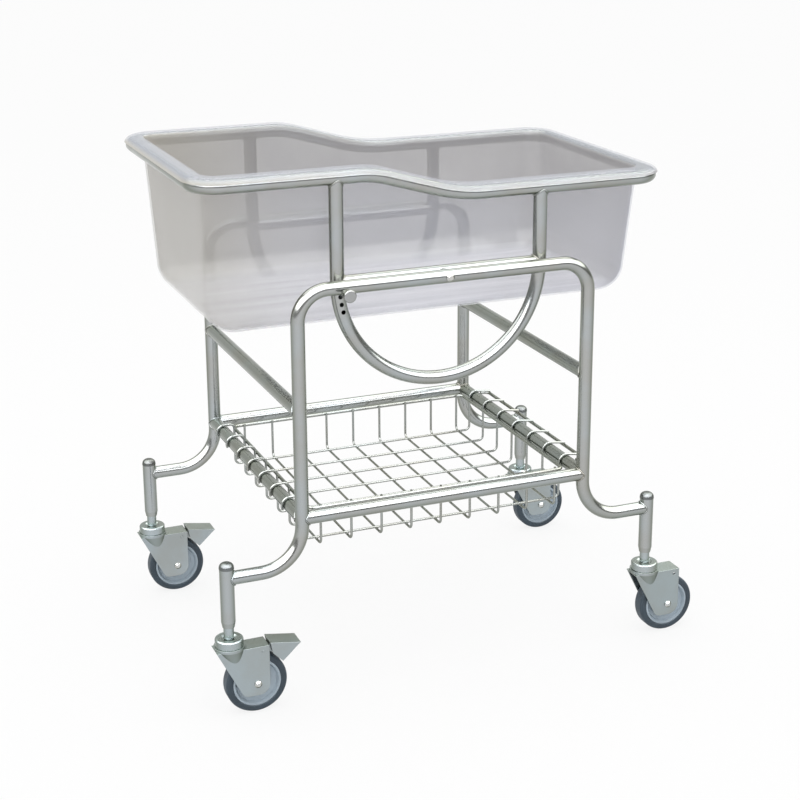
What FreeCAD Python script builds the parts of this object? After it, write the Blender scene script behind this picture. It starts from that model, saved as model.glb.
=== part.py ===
import FreeCAD, Part
import math
import os
import re
import Sketcher
from FreeCAD import Vector

# Hospital bassinet: a tube cart on four swivel casters, a tilting cradle of bent tube that
# carries a clear tub, an index lock for the tilt and a wire basket on the lower shelf.
# Frame: X runs along the cart from the head (-X) to the foot (+X), Y across it with the lock
# on the -Y side, Z up from the floor. The origin is the middle of the cart's outer box.

SIZES = {
    # bent steel tube, millimetres
    "pipe_diameter": 22,
    "pipe_wall": 1.5,
    "weld_gap": 0.05,
    "running_gap": 0.3,
    # cart frame, centre line to centre line
    "leg_spacing": 490,
    "top_bar_height": 672.5,
    "top_bend": 48,
    "foot_bend": 68,
    "foot_height": 230,
    "cross_tube_height": 484,
    "shelf_height": 310,
    # caster posts and their caps
    "foot_reach": 124,
    "post_diameter": 23,
    "post_bottom": 149.5,
    "post_swage": 9,
    "post_top": 247,
    "cap_rise": 9.5,
    "cap_skirt": 2,
    "cap_plug_depth": 14,
    # cradle: yokes and rim
    "cradle_width": 427,
    "cradle_gap": 5.5,
    "yoke_radius": 171,
    "rim_length": 776,
    "rim_corner": 75,
    "rim_head_height": 835,
    "rim_step": 42,
    "step_head_place": -112,
    "step_foot_place": 32,
    "step_head_bend": 150,
    "step_foot_bend": 300,
    # pivots
    "pivot_bolt_diameter": 8,
    "pivot_head_diameter": 13,
    "pivot_head_rise": 4,
    "pivot_bush_diameter": 18,
    "pivot_nut_diameter": 13,
    "pivot_nut_height": 7,
    "shaft_gap": 0.05,
    # tilt lock
    "index_pitch": 4.2,
    "index_start": 2.4,
    "index_count": 4,
    "plunger_diameter": 7,
    "plunger_nose": 4,
    "plunger_travel": 6,
    "lock_sleeve_diameter": 12,
    "knob_diameter": 20,
    "knob_length": 12,
    "knob_waist": 13,
    # tub
    "tub_wall": 3,
    "tub_clearance": 5.5,
    "tub_floor_height": 592,
    "tub_end_draft": 8.5,
    "tub_side_draft": 17,
    "tub_floor_corner": 56,
    "tub_floor_bend": 48,
    "flange_lip_angle": 20,
    "flange_fold": 4,
    # wire basket
    "basket_wire": 4,
    "basket_rim_wire": 6,
    "basket_depth": 58,
    "basket_bend": 15,
    "basket_rim_rise": 4,
    "basket_rim_reach": 23,
    "basket_rim_corner": 22,
    "basket_crank": 14,
    "basket_crank_bend": 8,
    "long_wire_count": 7,
    "long_wire_margin": 41,
    "cross_wire_count": 9,
    "cross_wire_margin": 21.7,
    "cross_wire_rise": 3,
    # casters
    "wheel_diameter": 100,
    "wheel_width": 24,
    "tread_depth": 11,
    "tread_shoulder": 5,
    "hub_ring": 3,
    "hub_ring_rise": 1.2,
    "hub_web": 8,
    "hub_boss_diameter": 22,
    "hub_clearance": 0.4,
    "caster_trail": 40,
    "fork_width": 33,
    "fork_sheet": 2.5,
    "fork_roof": 113.5,
    "fork_leg_radius": 20,
    "fork_leg_half": 20,
    "fork_cone_drop": 20.5,
    "fork_cone_shift": 5,
    "race_diameter": 49,
    "race_lip": 4.5,
    "cup_diameter": 45,
    "cup_height": 13,
    "cup_round": 3,
    "stem_neck": 16.5,
    "stem_length": 52,
    "kingpin_diameter": 12,
    "kingpin_head": 18,
    "kingpin_head_height": 3,
    "axle_diameter": 8,
    "axle_head_diameter": 12,
    "axle_head_rise": 4,
    "axle_nut_diameter": 14,
    "axle_nut_height": 6,
    # wheel brakes of the two head casters
    "brake_pin_diameter": 5,
    "brake_pin_reach": 10,
    "brake_pin_height": 105,
    "pedal_start": 22,
    "pedal_end": 72,
    "pedal_top": 117,
    "pedal_tip_height": 109,
    "pedal_heel_height": 82,
    "pedal_sheet": 2,
    "shoe_width": 18,
    "shoe_drop": 7.3,
}

# Sizes that follow from the ones above.
DERIVED = {
    "pipe_radius": "pipe_diameter / 2",
    "pipe_bore": "pipe_radius - pipe_wall",
    "cope_radius": "pipe_radius + weld_gap",
    "side_spacing": "cradle_width + 2 * pipe_diameter + 2 * cradle_gap",
    "side_place": "side_spacing / 2",
    "leg_place": "leg_spacing / 2",
    "caster_place": "leg_place + foot_reach",
    "post_radius": "post_diameter / 2",
    "post_bore": "post_radius - pipe_wall",
    "cradle_place": "cradle_width / 2",
    "rim_place": "rim_length / 2",
    "rim_foot_height": "rim_head_height - rim_step",
    "flange_radius": "pipe_radius + running_gap + tub_wall",
    "wheel_radius": "wheel_diameter / 2",
    "outer_head": "rim_place + flange_radius",
    "outer_foot": "caster_place + caster_trail + wheel_radius",
    "frame_middle": "(outer_head - outer_foot) / 2",
    # lock
    "index_drop": "yoke_radius * sin(index_start)",
    "lock_place": "-yoke_radius * cos(index_start)",
    "lock_height": "top_bar_height - index_drop",
    "yoke_outside": "cradle_place + pipe_radius",
    "side_outside": "side_place + pipe_radius",
    "sleeve_inner_end": "yoke_outside + 2 * running_gap",
    "sleeve_outer_end": "side_outside + 1.5",
    "knob_face": "sleeve_outer_end + running_gap + plunger_travel",
    # tub
    "wall_place": "cradle_place - pipe_radius - tub_clearance",
    "wall_end": "rim_place - pipe_radius - tub_clearance",
    "wall_corner": "rim_corner - pipe_radius - tub_clearance",
    "tub_floor_end": "wall_end - tub_end_draft",
    "tub_floor_side": "wall_place - tub_side_draft",
    # basket
    "wire_radius": "basket_wire / 2",
    "rim_wire_radius": "basket_rim_wire / 2",
    "basket_floor_height": "shelf_height - basket_depth",
    "basket_rim_height": "shelf_height + basket_rim_rise",
    "hook_radius": "pipe_radius + wire_radius + running_gap",
    "basket_inside": "leg_place - hook_radius",
    "basket_rim_end": "leg_place + basket_rim_reach",
    "basket_rim_side": "side_place - pipe_radius - rim_wire_radius - 1",
    "basket_rim_crest": "shelf_height + pipe_radius + rim_wire_radius + running_gap + 0.5",
    "cross_wire_side": "basket_rim_side - rim_wire_radius - wire_radius - weld_gap",
    "cross_wire_height": "basket_floor_height - basket_wire - weld_gap",
    "long_wire_pitch": "2 * (cross_wire_side - long_wire_margin) / (long_wire_count - 1)",
    "cross_wire_pitch": "2 * (basket_inside - cross_wire_margin) / (cross_wire_count - 1)",
    # casters, measured from the swivel axis and the floor
    "fork_half": "fork_width / 2",
    "fork_inside": "fork_width / 2 - fork_sheet",
    "fork_ceiling": "fork_roof - fork_sheet",
    "race_radius": "race_diameter / 2",
    "race_top": "fork_roof + race_lip",
    "cup_bottom": "race_top + running_gap",
    "cup_top": "cup_bottom + cup_height",
    "cup_radius": "cup_diameter / 2",
    "cone_bottom": "fork_roof - fork_cone_drop",
    "hub_half": "fork_inside - hub_clearance",
    "hub_radius": "wheel_radius - tread_depth",
    "brake_pin_place": "caster_trail + brake_pin_reach",
}

doc = FreeCAD.newDocument("Bassinet")
sheet = doc.addObject("Spreadsheet::Sheet", "Sizes")
for row, (size_name, size) in enumerate(SIZES.items(), start=1):
    sheet.set(f"A{row}", size_name)
    sheet.set(f"B{row}", str(size))
    sheet.setAlias(f"B{row}", size_name)
doc.recompute()


def cells(formula):
    """Formula in which each named size points at its cell of the sheet."""

    def swap(found):
        word = found.group()
        if word in DERIVED:
            return f"({cells(DERIVED[word])})"
        return f"Sizes.{word}" if word in SIZES else word

    return re.sub(r"[a-z_]+", swap, str(formula))


def value(formula):
    """Number that a formula of named sizes stands for."""
    return float(sheet.evalExpression(cells(formula)))


def bind(thing, setting, formula):
    """Tie one property of a document object to the sheet."""
    thing.setExpression(setting, cells(formula))


def place(thing, x="0", y="0", z="0"):
    """Put a sub-part, made about the cart's centre plane, where it belongs."""
    bind(thing, "Placement.Base.x", f"({x}) + frame_middle")
    bind(thing, "Placement.Base.y", y)
    bind(thing, "Placement.Base.z", z)
    return thing


# ---------------------------------------------------------------- drawing helpers


def new_body(label):
    body = doc.addObject("PartDesign::Body", label)
    body.Label = label
    return body


def sketch(body, plane, offset="0"):
    """Empty sketch on one of the body's own origin planes."""
    drawing = body.newObject("Sketcher::SketchObject", "Sketch")
    support = next(item for item in body.Origin.OriginFeatures if item.Role == plane)
    drawing.AttachmentSupport = [(support, "")]
    drawing.MapMode = "FlatFace"
    bind(drawing, "AttachmentOffset.Base.z", offset)
    return drawing


def constrain(drawing, rules):
    """Add constraints, each with the formula that drives it or None."""
    first = drawing.ConstraintCount
    drawing.addConstraint([rule for rule, formula in rules])
    for number, (rule, formula) in enumerate(rules, start=first):
        if formula is not None:
            bind(drawing, f"Constraints[{number}]", formula)


def fix_point(geometry, end, x, y):
    """Rules that hold one point of a sketch at (x, y)."""
    return [
        (Sketcher.Constraint("DistanceX", geometry, end, value(x)), x),
        (Sketcher.Constraint("DistanceY", geometry, end, value(y)), y),
    ]


def circle(drawing, x, y, radius):
    ring_line = Part.Circle(Vector(value(x), value(y), 0), Vector(0, 0, 1), value(radius))
    number = drawing.addGeometry(ring_line)
    rules = fix_point(number, 3, x, y)
    rules.append((Sketcher.Constraint("Radius", number, value(radius)), radius))
    constrain(drawing, rules)


def corner_arc(before, corner, after, radius):
    """Tangent points, arc and turn of a corner rounded by radius, in the drawing plane."""
    back = (before - corner).normalize()
    ahead = (after - corner).normalize()
    half = back.getAngle(ahead) / 2
    start = corner + back * (radius / math.tan(half))
    end = corner + ahead * (radius / math.tan(half))
    centre = corner + (back + ahead).normalize() * (radius / math.sin(half))
    left = (corner - before).cross(after - corner).z > 0
    angles = [math.atan2(p.y - centre.y, p.x - centre.x) for p in (start, end)]
    if not left:
        angles.reverse()
    arc = Part.ArcOfCircle(Part.Circle(centre, Vector(0, 0, 1), radius), *angles)
    return start, end, arc, left


def outline(drawing, corners, closed=True):
    """Straight sides through corners (x, y) or (x, y, radius), rounded where a radius is given."""
    points = [Vector(value(c[0]), value(c[1]), 0) for c in corners]
    count = len(points)
    sides = count if closed else count - 1
    starts = list(points)
    ends = list(points)
    arcs = {}
    for number, corner in enumerate(corners):
        if len(corner) == 3:
            around = (points[number - 1], points[number], points[(number + 1) % count])
            start, end, arc, left = corner_arc(*around, value(corner[2]))
            ends[number], starts[number] = start, end
            arcs[number] = (arc, left)
    base = drawing.GeometryCount
    for side in range(sides):
        drawing.addGeometry(Part.LineSegment(starts[side], ends[(side + 1) % count]))
    rules = []
    for number, corner in enumerate(corners):
        side_in = base + (number - 1) % count
        side_out = base + number
        if not closed and number == 0:
            rules += fix_point(side_out, 1, corner[0], corner[1])
        elif not closed and number == count - 1:
            rules += fix_point(side_in, 2, corner[0], corner[1])
        elif number not in arcs:
            rules.append((Sketcher.Constraint("Coincident", side_in, 2, side_out, 1), None))
            rules += fix_point(side_out, 1, corner[0], corner[1])
        else:
            rules += rounded_corner(drawing, corner, arcs[number], side_in, side_out)
    constrain(drawing, rules)


def rounded_corner(drawing, corner, arc_and_turn, side_in, side_out):
    """Rules of one rounded corner; its sharp corner stays as a construction point."""
    arc, left = arc_and_turn
    bend = drawing.addGeometry(arc)
    sharp = drawing.addGeometry(Part.Point(Vector(value(corner[0]), value(corner[1]), 0)), True)
    enter, leave = (1, 2) if left else (2, 1)
    rules = [
        (Sketcher.Constraint("Tangent", side_in, 2, bend, enter), None),
        (Sketcher.Constraint("Tangent", side_out, 1, bend, leave), None),
        (Sketcher.Constraint("Radius", bend, value(corner[2])), corner[2]),
        (Sketcher.Constraint("PointOnObject", sharp, 1, side_in), None),
        (Sketcher.Constraint("PointOnObject", sharp, 1, side_out), None),
    ]
    return rules + fix_point(sharp, 1, corner[0], corner[1])


def rectangle(drawing, left, bottom, right, top):
    outline(drawing, [(left, bottom), (right, bottom), (right, top), (left, top)])


# ---------------------------------------------------------------- feature helpers


def pad(body, drawing, length, both=False):
    feature = body.newObject("PartDesign::Pad", "Pad")
    feature.Profile = drawing
    feature.SideType = "Symmetric" if both else "One side"
    bind(feature, "Length", length)
    return feature


def pocket(body, drawing, length=None, reverse=False):
    """Cut of the given depth, or right through both ways where no depth is given."""
    feature = body.newObject("PartDesign::Pocket", "Pocket")
    feature.Profile = drawing
    if length is None:
        feature.SideType = "Symmetric"
        feature.Type = "ThroughAll"
    else:
        feature.Reversed = reverse
        bind(feature, "Length", length)
    return feature


def deep_pocket(body, drawing, length):
    """Cut that reaches half of the length to each side of its sketch."""
    feature = body.newObject("PartDesign::Pocket", "Pocket")
    feature.Profile = drawing
    feature.SideType = "Symmetric"
    bind(feature, "Length", length)
    return feature


def revolve(body, drawing, kind="Revolution"):
    feature = body.newObject(f"PartDesign::{kind}", kind)
    feature.Profile = drawing
    feature.ReferenceAxis = (drawing, ["V_Axis"])
    feature.Angle = 360
    return feature


def turned(label, corners):
    """Body turned about Z."""
    body = new_body(label)
    drawing = sketch(body, "XZ_Plane")
    outline(drawing, corners)
    revolve(body, drawing)
    return body


def straight_tube(label, plane, x, y, length):
    """Round tube standing on both sides of a plane."""
    body = new_body(label)
    section = sketch(body, plane)
    circle(section, x, y, "pipe_radius")
    circle(section, x, y, "pipe_bore")
    pad(body, section, length, both=True)
    return body


def bent_tube(label, corners, section_plane, section_offset, x, y, radius, bore=None):
    """Tube or wire swept along a path drawn on the XZ plane."""
    body = new_body(label)
    path = sketch(body, "XZ_Plane")
    outline(path, corners, closed=False)
    section = sketch(body, section_plane, section_offset)
    circle(section, x, y, radius)
    if bore is not None:
        circle(section, x, y, bore)
    sweep = body.newObject("PartDesign::AdditivePipe", "Sweep")
    sweep.Profile = section
    doc.recompute()
    edges = [f"Edge{number + 1}" for number in range(len(path.Shape.Edges))]
    sweep.Spine = (path, edges)
    return body


def cut_circles(body, plane, places, radius):
    """Round cuts right through a body, one at each (x, y)."""
    drawing = sketch(body, plane)
    for x, y in places:
        circle(drawing, x, y, radius)
    return pocket(body, drawing)


def group(label, members):
    """One node that holds several equal, separate pieces."""
    node = doc.addObject("Part::Compound", label)
    node.Label = label
    node.Links = members
    bind(node, "Placement.Base.x", "frame_middle")
    return node


def copies(body, places):
    """Linked copies of a body at (x, y, z, turn about Z)."""
    made = []
    for x, y, z, turn in places:
        link = doc.addObject("App::Link", f"{body.Label}_copy")
        link.LinkedObject = body
        link.LinkTransform = False
        bind(link, "Placement.Base.x", x)
        bind(link, "Placement.Base.y", y)
        bind(link, "Placement.Base.z", z)
        link.Placement.Rotation = FreeCAD.Rotation(Vector(0, 0, 1), turn)
        made.append(link)
    return made


# ---------------------------------------------------------------- cart frame


def side_frame(label, y, holds_lock):
    """Inverted U of tube whose legs sweep out into the two caster posts."""
    corners = [
        ("-caster_place", "foot_height"),
        ("-leg_place", "foot_height", "foot_bend"),
        ("-leg_place", "top_bar_height", "top_bend"),
        ("leg_place", "top_bar_height", "top_bend"),
        ("leg_place", "foot_height", "foot_bend"),
        ("caster_place", "foot_height"),
    ]
    start = ("YZ_Plane", "-caster_place", "0", "foot_height")
    body = bent_tube(label, corners, *start, "pipe_radius", "pipe_bore")
    posts = [("-caster_place", "0"), ("caster_place", "0")]
    cut_circles(body, "XY_Plane", posts, "post_radius + weld_gap")
    pivot = [("0", "top_bar_height")]
    cut_circles(body, "XZ_Plane", pivot, "pivot_bolt_diameter / 2 + shaft_gap")
    if holds_lock:
        sleeve = [("lock_place", "lock_height")]
        cut_circles(body, "XZ_Plane", sleeve, "lock_sleeve_diameter / 2 + weld_gap")
    return place(body, y=y)


def cross_tube(label, x, height):
    """Tube between the two side frames, coped to the legs."""
    body = straight_tube(label, "XZ_Plane", "0", height, "side_spacing")
    cut_circles(body, "XY_Plane", [("0", "-side_place"), ("0", "side_place")], "cope_radius")
    return place(body, x=x)


def mitre(body, corner_signs, along_x, inward):
    """Cut the inner corner of a shelf rail's ends at 45 degrees, where the rails meet."""
    for sign in corner_signs:
        drawing = sketch(body, "XY_Plane")
        end = f"{sign} * (leg_place)" if along_x else f"{sign} * (side_place)"
        deep = f"{end} - {sign} * (pipe_diameter + weld_gap)"
        near = f"{-inward} * weld_gap"
        far = f"{inward} * pipe_diameter"
        corners = [(end, near), (end, far), (deep, far)]
        if not along_x:
            corners = [(y, x) for x, y in corners]
        outline(drawing, corners)
        pocket(body, drawing)


def long_shelf_rail(label, y, inward):
    body = straight_tube(label, "YZ_Plane", "0", "shelf_height", "leg_spacing")
    cut_circles(body, "XY_Plane", [("-leg_place", "0"), ("leg_place", "0")], "cope_radius")
    mitre(body, (-1, 1), True, inward)
    return place(body, y=y)


def end_shelf_rail(label, x, inward):
    body = cross_tube(label, x, "shelf_height")
    mitre(body, (-1, 1), False, inward)
    return body


def caster_post(label, x, y):
    """Upright tube that takes the caster's stem, its lower end swaged onto the stem's neck."""
    mouth = "stem_neck / 2 + weld_gap"
    body = turned(
        label,
        [
            (mouth, "post_bottom"),
            (f"{mouth} + pipe_wall", "post_bottom"),
            ("post_radius", "post_bottom + post_swage"),
            ("post_radius", "post_top"),
            ("post_bore", "post_top"),
            ("post_bore", "post_bottom + post_swage"),
        ],
    )
    return place(body, x, y)


def post_caps():
    """Domed plugs in the tops of the four posts."""
    corners = [
        ("0", "post_top - cap_plug_depth"),
        ("post_bore - weld_gap", "post_top - cap_plug_depth"),
        ("post_bore - weld_gap", "post_top + weld_gap"),
        ("post_radius + 0.4", "post_top + weld_gap"),
        ("post_radius + 0.4", "post_top + cap_skirt + cap_rise - 1", "cap_rise - 1"),
        ("0", "post_top + cap_skirt + cap_rise - 1"),
    ]
    cap = turned("post_cap", corners)
    return group("post_caps", copies(cap, corner_places()))


def corner_places():
    """The four caster corners, as (x, y, z, turn)."""
    return [
        (f"{along} * (caster_place)", f"{across} * (side_place)", "0", 0)
        for along in (-1, 1)
        for across in (-1, 1)
    ]


# ---------------------------------------------------------------- cradle


def rounded_wire(corners, closed=False):
    """Wire of straight runs and tangent arcs through corners (point, radius) in space."""
    count = len(corners)
    runs = []
    for number, (point, radius) in enumerate(corners):
        if radius == 0:
            runs.append((point, None, point))
            continue
        back = (corners[number - 1][0] - point).normalize()
        ahead = (corners[(number + 1) % count][0] - point).normalize()
        half = back.getAngle(ahead) / 2
        reach = radius / math.tan(half)
        inward = (back + ahead).normalize()
        middle = point + inward * (radius / math.sin(half) - radius)
        runs.append((point + back * reach, middle, point + ahead * reach))
    edges = []
    for number, (start, middle, end) in enumerate(runs):
        if middle is not None:
            edges.append(Part.Arc(start, middle, end).toShape())
        if closed or number < count - 1:
            edges.append(Part.LineSegment(end, runs[(number + 1) % count][0]).toShape())
    return Part.Wire(edges)


def rim_loop():
    """Centre line of the stepped rim, as seen from above a rounded rectangle."""
    end, side = value("rim_place"), value("cradle_place")
    head, foot = value("rim_head_height"), value("rim_foot_height")
    corner = value("rim_corner")
    step_head = (value("step_head_place"), value("step_head_bend"))
    step_foot = (value("step_foot_place"), value("step_foot_bend"))
    return rounded_wire(
        [
            (Vector(-end, 0, head), 0),
            (Vector(-end, -side, head), corner),
            (Vector(step_head[0], -side, head), step_head[1]),
            (Vector(step_foot[0], -side, foot), step_foot[1]),
            (Vector(end, -side, foot), corner),
            (Vector(end, side, foot), corner),
            (Vector(step_foot[0], side, foot), step_foot[1]),
            (Vector(step_head[0], side, head), step_head[1]),
            (Vector(-end, side, head), corner),
        ],
        closed=True,
    )


def swept(path, section):
    """Solid that a closed section leaves as it follows a path and stays upright."""
    shell = Part.BRepOffsetAPI.MakePipeShell(path)
    shell.setBiNormalMode(Vector(0, 0, 1))
    shell.setTransitionMode(1)
    shell.add(section)
    shell.build()
    shell.makeSolid()
    return shell.shape()


def circle_section(path, radius):
    """Round section square to the start of a path."""
    edge = path.Edges[0]
    start = edge.Vertexes[0].Point
    ahead = edge.tangentAt(edge.FirstParameter)
    return Part.Wire(Part.Circle(start, ahead, radius).toShape())


def shaped(label, shape):
    """Sub-part whose shape is worked out from the sheet in code."""
    node = doc.addObject("Part::Feature", label)
    node.Label = label
    node.Shape = shape
    return place(node)


def rim_tube():
    """Tube bent into the cradle's stepped rim."""
    path = rim_loop()
    outside = swept(path, circle_section(path, value("pipe_radius")))
    inside = swept(path, circle_section(path, value("pipe_bore")))
    return shaped("rim_tube", outside.cut(inside))


def yoke(label, y, index_holes):
    """Half ring of tube below the rim, with the tilt index holes on the lock's side."""
    corners = [
        ("-yoke_radius", "rim_head_height"),
        ("-yoke_radius", "top_bar_height - yoke_radius", "yoke_radius - 0.01"),
        ("yoke_radius", "top_bar_height - yoke_radius", "yoke_radius - 0.01"),
        ("yoke_radius", "rim_foot_height"),
    ]
    start = ("XY_Plane", "rim_head_height", "-yoke_radius", "0")
    body = bent_tube(label, corners, *start, "pipe_radius", "pipe_bore")
    head_saddle = sketch(body, "YZ_Plane", "-yoke_radius")
    circle(head_saddle, "0", "rim_head_height", "cope_radius")
    deep_pocket(body, head_saddle, "2 * pipe_diameter")
    foot_saddle = sketch(body, "YZ_Plane", "yoke_radius")
    circle(foot_saddle, "0", "rim_foot_height", "cope_radius")
    deep_pocket(body, foot_saddle, "2 * pipe_diameter")
    if index_holes:
        angles = [f"(index_start + {step} * index_pitch)" for step in range(SIZES["index_count"])]
        holes = [
            (f"-yoke_radius * cos({angle})", f"top_bar_height - yoke_radius * sin({angle})")
            for angle in angles
        ]
        cut_circles(body, "XZ_Plane", holes, "plunger_diameter / 2 + shaft_gap")
    return place(body, y=y)


def yoke_bar(label, y):
    """Straight tube across a yoke, drilled for the pivot bolt."""
    body = straight_tube(label, "YZ_Plane", "0", "top_bar_height", "2 * yoke_radius")
    bite = sketch(body, "XY_Plane", "top_bar_height")
    circle(bite, "yoke_radius", "0", "cope_radius")
    revolve(body, bite, "Groove")
    pivot = [("0", "top_bar_height")]
    cut_circles(body, "XZ_Plane", pivot, "pivot_bolt_diameter / 2 + shaft_gap")
    return place(body, y=y)


# ---------------------------------------------------------------- pivots and lock


def pivot_bolt():
    """Round-headed bolt; z is its distance in from the side frame's outer face."""
    reach = "side_outside - cradle_place + pipe_radius + running_gap + pivot_nut_height - 1"
    shank = "pivot_bolt_diameter / 2"
    head = "pivot_head_diameter / 2"
    return turned(
        "pivot_bolt",
        [
            ("0", "-pivot_head_rise"),
            (f"{head} * 0.55", "-pivot_head_rise"),
            (head, "-pivot_head_rise / 3"),
            (head, "-weld_gap"),
            (shank, "-weld_gap"),
            (shank, reach),
            ("0", reach),
        ],
    )


def pivot_bush():
    """Spacer between the side frame's top bar and the yoke bar."""
    return turned(
        "pivot_bush",
        [
            ("pivot_bolt_diameter / 2 + weld_gap", "pipe_diameter + weld_gap"),
            ("pivot_bush_diameter / 2", "pipe_diameter + weld_gap"),
            ("pivot_bush_diameter / 2", "side_outside - yoke_outside - running_gap"),
            ("pivot_bolt_diameter / 2 + weld_gap", "side_outside - yoke_outside - running_gap"),
        ],
    )


def pivot_nut():
    """Six-sided nut with a domed closed end, inside the yoke bar."""
    body = new_body("pivot_nut")
    seat = "side_outside - cradle_place + pipe_radius + running_gap"
    hexagon = sketch(body, "XY_Plane", seat)
    across_corners = "pivot_nut_diameter / 2 / cos(30)"
    sixth = [f"{60 * number}" for number in range(6)]
    outline(hexagon, [(f"{across_corners} * cos({a})", f"{across_corners} * sin({a})") for a in sixth])
    pad(body, hexagon, "pivot_nut_height")
    bore = sketch(body, "XY_Plane", seat)
    circle(bore, "0", "0", "pivot_bolt_diameter / 2 + weld_gap / 2")
    pocket(body, bore, "pivot_nut_height - 1", reverse=True)
    return body


def both_pivots(label, body):
    """The same piece at the front and the rear pivot, facing inward."""
    members = []
    for sign, turn in ((-1, -90), (1, 90)):
        link = doc.addObject("App::Link", f"{label}_copy")
        link.LinkedObject = body
        link.LinkTransform = False
        link.Placement.Rotation = FreeCAD.Rotation(Vector(1, 0, 0), turn)
        bind(link, "Placement.Base.y", f"{sign} * (side_outside)")
        bind(link, "Placement.Base.z", "top_bar_height")
        members.append(link)
    return group(label, members)


def lock_sleeve():
    """Sleeve let into the top bar that guides the plunger."""
    bore = "plunger_diameter / 2 + shaft_gap"
    body = turned(
        "lock_sleeve",
        [
            (bore, "sleeve_inner_end"),
            ("lock_sleeve_diameter / 2", "sleeve_inner_end"),
            ("lock_sleeve_diameter / 2", "sleeve_outer_end"),
            (bore, "sleeve_outer_end"),
        ],
    )
    body.Placement.Rotation = FreeCAD.Rotation(Vector(1, 0, 0), 90)
    return place(body, x="lock_place", z="lock_height")


def lock_plunger():
    """Pin with a tapered nose, drawn clear of the yoke."""
    nose = "yoke_outside + running_gap"
    radius = "plunger_diameter / 2"
    end = "knob_face + knob_length - 3"
    body = turned(
        "lock_plunger",
        [
            ("0", nose),
            (f"{radius} * 0.7", nose),
            (radius, f"{nose} + plunger_nose * 0.4"),
            (radius, end),
            ("0", end),
        ],
    )
    body.Placement.Rotation = FreeCAD.Rotation(Vector(1, 0, 0), 90)
    return place(body, x="lock_place", z="lock_height")


def lock_knob():
    """Round pull knob with a waist behind its face."""
    bore = "plunger_diameter / 2 + weld_gap"
    radius = "knob_diameter / 2"
    end = "knob_face + knob_length"
    body = turned(
        "lock_knob",
        [
            (bore, "knob_face"),
            ("knob_waist / 2", "knob_face"),
            (radius, "knob_face + 3"),
            (radius, end, "2"),
            ("0", end),
            ("0", "knob_face + knob_length - 3 + weld_gap"),
            (bore, "knob_face + knob_length - 3 + weld_gap"),
        ],
    )
    body.Placement.Rotation = FreeCAD.Rotation(Vector(1, 0, 0), 90)
    return place(body, x="lock_place", z="lock_height")


# ---------------------------------------------------------------- tub


def rounded_rectangle(half_length, half_width, corner, height):
    """Closed wire of a rounded rectangle at one height."""
    signs = [(-1, -1), (1, -1), (1, 1), (-1, 1)]
    corners = [(Vector(a * half_length, b * half_width, height), corner) for a, b in signs]
    start = (Vector(0, -half_width, height), 0)
    return rounded_wire(corners[:1] + [start] + corners[1:], closed=True)


def tub_form(inset, top):
    """Tapered box with rounded corners and bottom, set in by the wall where asked."""
    floor = value("tub_floor_height") + inset
    rim = value("rim_head_height")
    low = (
        value("tub_floor_end") - inset,
        value("tub_floor_side") - inset,
        value("tub_floor_corner") - inset,
    )
    high = (value("wall_end") - inset, value("wall_place") - inset, value("wall_corner") - inset)
    grow = (top - floor) / (rim - floor)
    crown = [a + (b - a) * grow for a, b in zip(low, high)]
    box = Part.makeLoft(
        [rounded_rectangle(*low, floor), rounded_rectangle(*crown, top)], True, False
    )
    bottom = [edge for edge in box.Edges if edge.BoundBox.ZMax < floor + 0.01]
    return box.makeFillet(value("tub_floor_bend") - inset, bottom)


def step_line(rise):
    """Side view of the rim's centre line, lifted by rise and run past both ends."""
    far = value("rim_length")
    head, foot = value("rim_head_height") + rise, value("rim_foot_height") + rise
    return rounded_wire(
        [
            (Vector(-far, -far, head), 0),
            (Vector(value("step_head_place"), -far, head), value("step_head_bend")),
            (Vector(value("step_foot_place"), -far, foot), value("step_foot_bend")),
            (Vector(far, -far, foot), 0),
        ]
    )


def above_step(rise):
    """Everything above the stepped line, to trim the tub's walls."""
    line = step_line(rise)
    far = value("rim_length")
    first = line.Vertexes[0].Point
    last = line.Vertexes[-1].Point
    top = Part.makePolygon([last, last + Vector(0, 0, far), first + Vector(0, 0, far), first])
    return Part.Face(Part.Wire(line.Edges + top.Edges)).extrude(Vector(0, 2 * far, 0))


def flange_section():
    """Cross-section of the turned-out flange, hooked over the rim tube."""
    inner = value("pipe_radius + running_gap")
    outer = value("flange_radius")
    lip = math.radians(value("flange_lip_angle"))
    inside = -value("pipe_radius + tub_clearance + tub_wall + tub_side_draft")
    start = Vector(-value("rim_place"), 0, value("rim_head_height"))

    def at(out, up):
        return start + Vector(-out, 0, up)

    def around(radius, angle):
        return at(radius * math.cos(angle), radius * math.sin(angle))

    def hook(radius):
        angles = (math.pi / 2, (math.pi / 2 + lip) / 2, lip)
        return Part.Arc(*[around(radius, angle) for angle in angles]).toShape()

    straight = [
        (at(inside, inner), at(0, inner)),
        (around(inner, lip), around(outer, lip)),
        (at(0, outer), at(inside, outer)),
        (at(inside, outer), at(inside, inner)),
    ]
    edges = [Part.LineSegment(*ends).toShape() for ends in straight]
    return Part.Wire(Part.__sortEdges__(edges + [hook(inner), hook(outer)]))


def fold_edges(shell, rise):
    """Edges between the tub's walls and its flange, at the given rise above the rim's line."""
    line = step_line(rise)
    far = value("rim_length")
    flange_inside = value("cradle_place - pipe_radius")
    found = []
    for edge in shell.Edges:
        points = edge.discretize(4)
        if any(abs(point.y) > flange_inside for point in points):
            continue
        if any(abs(point.x) > value("rim_place - pipe_radius") for point in points):
            continue
        lifted = [Vector(point.x, -far, point.z) for point in points]
        if all(line.distToShape(Part.Vertex(point))[0] < value("weld_gap") for point in lifted):
            found.append(edge)
    return found


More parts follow.
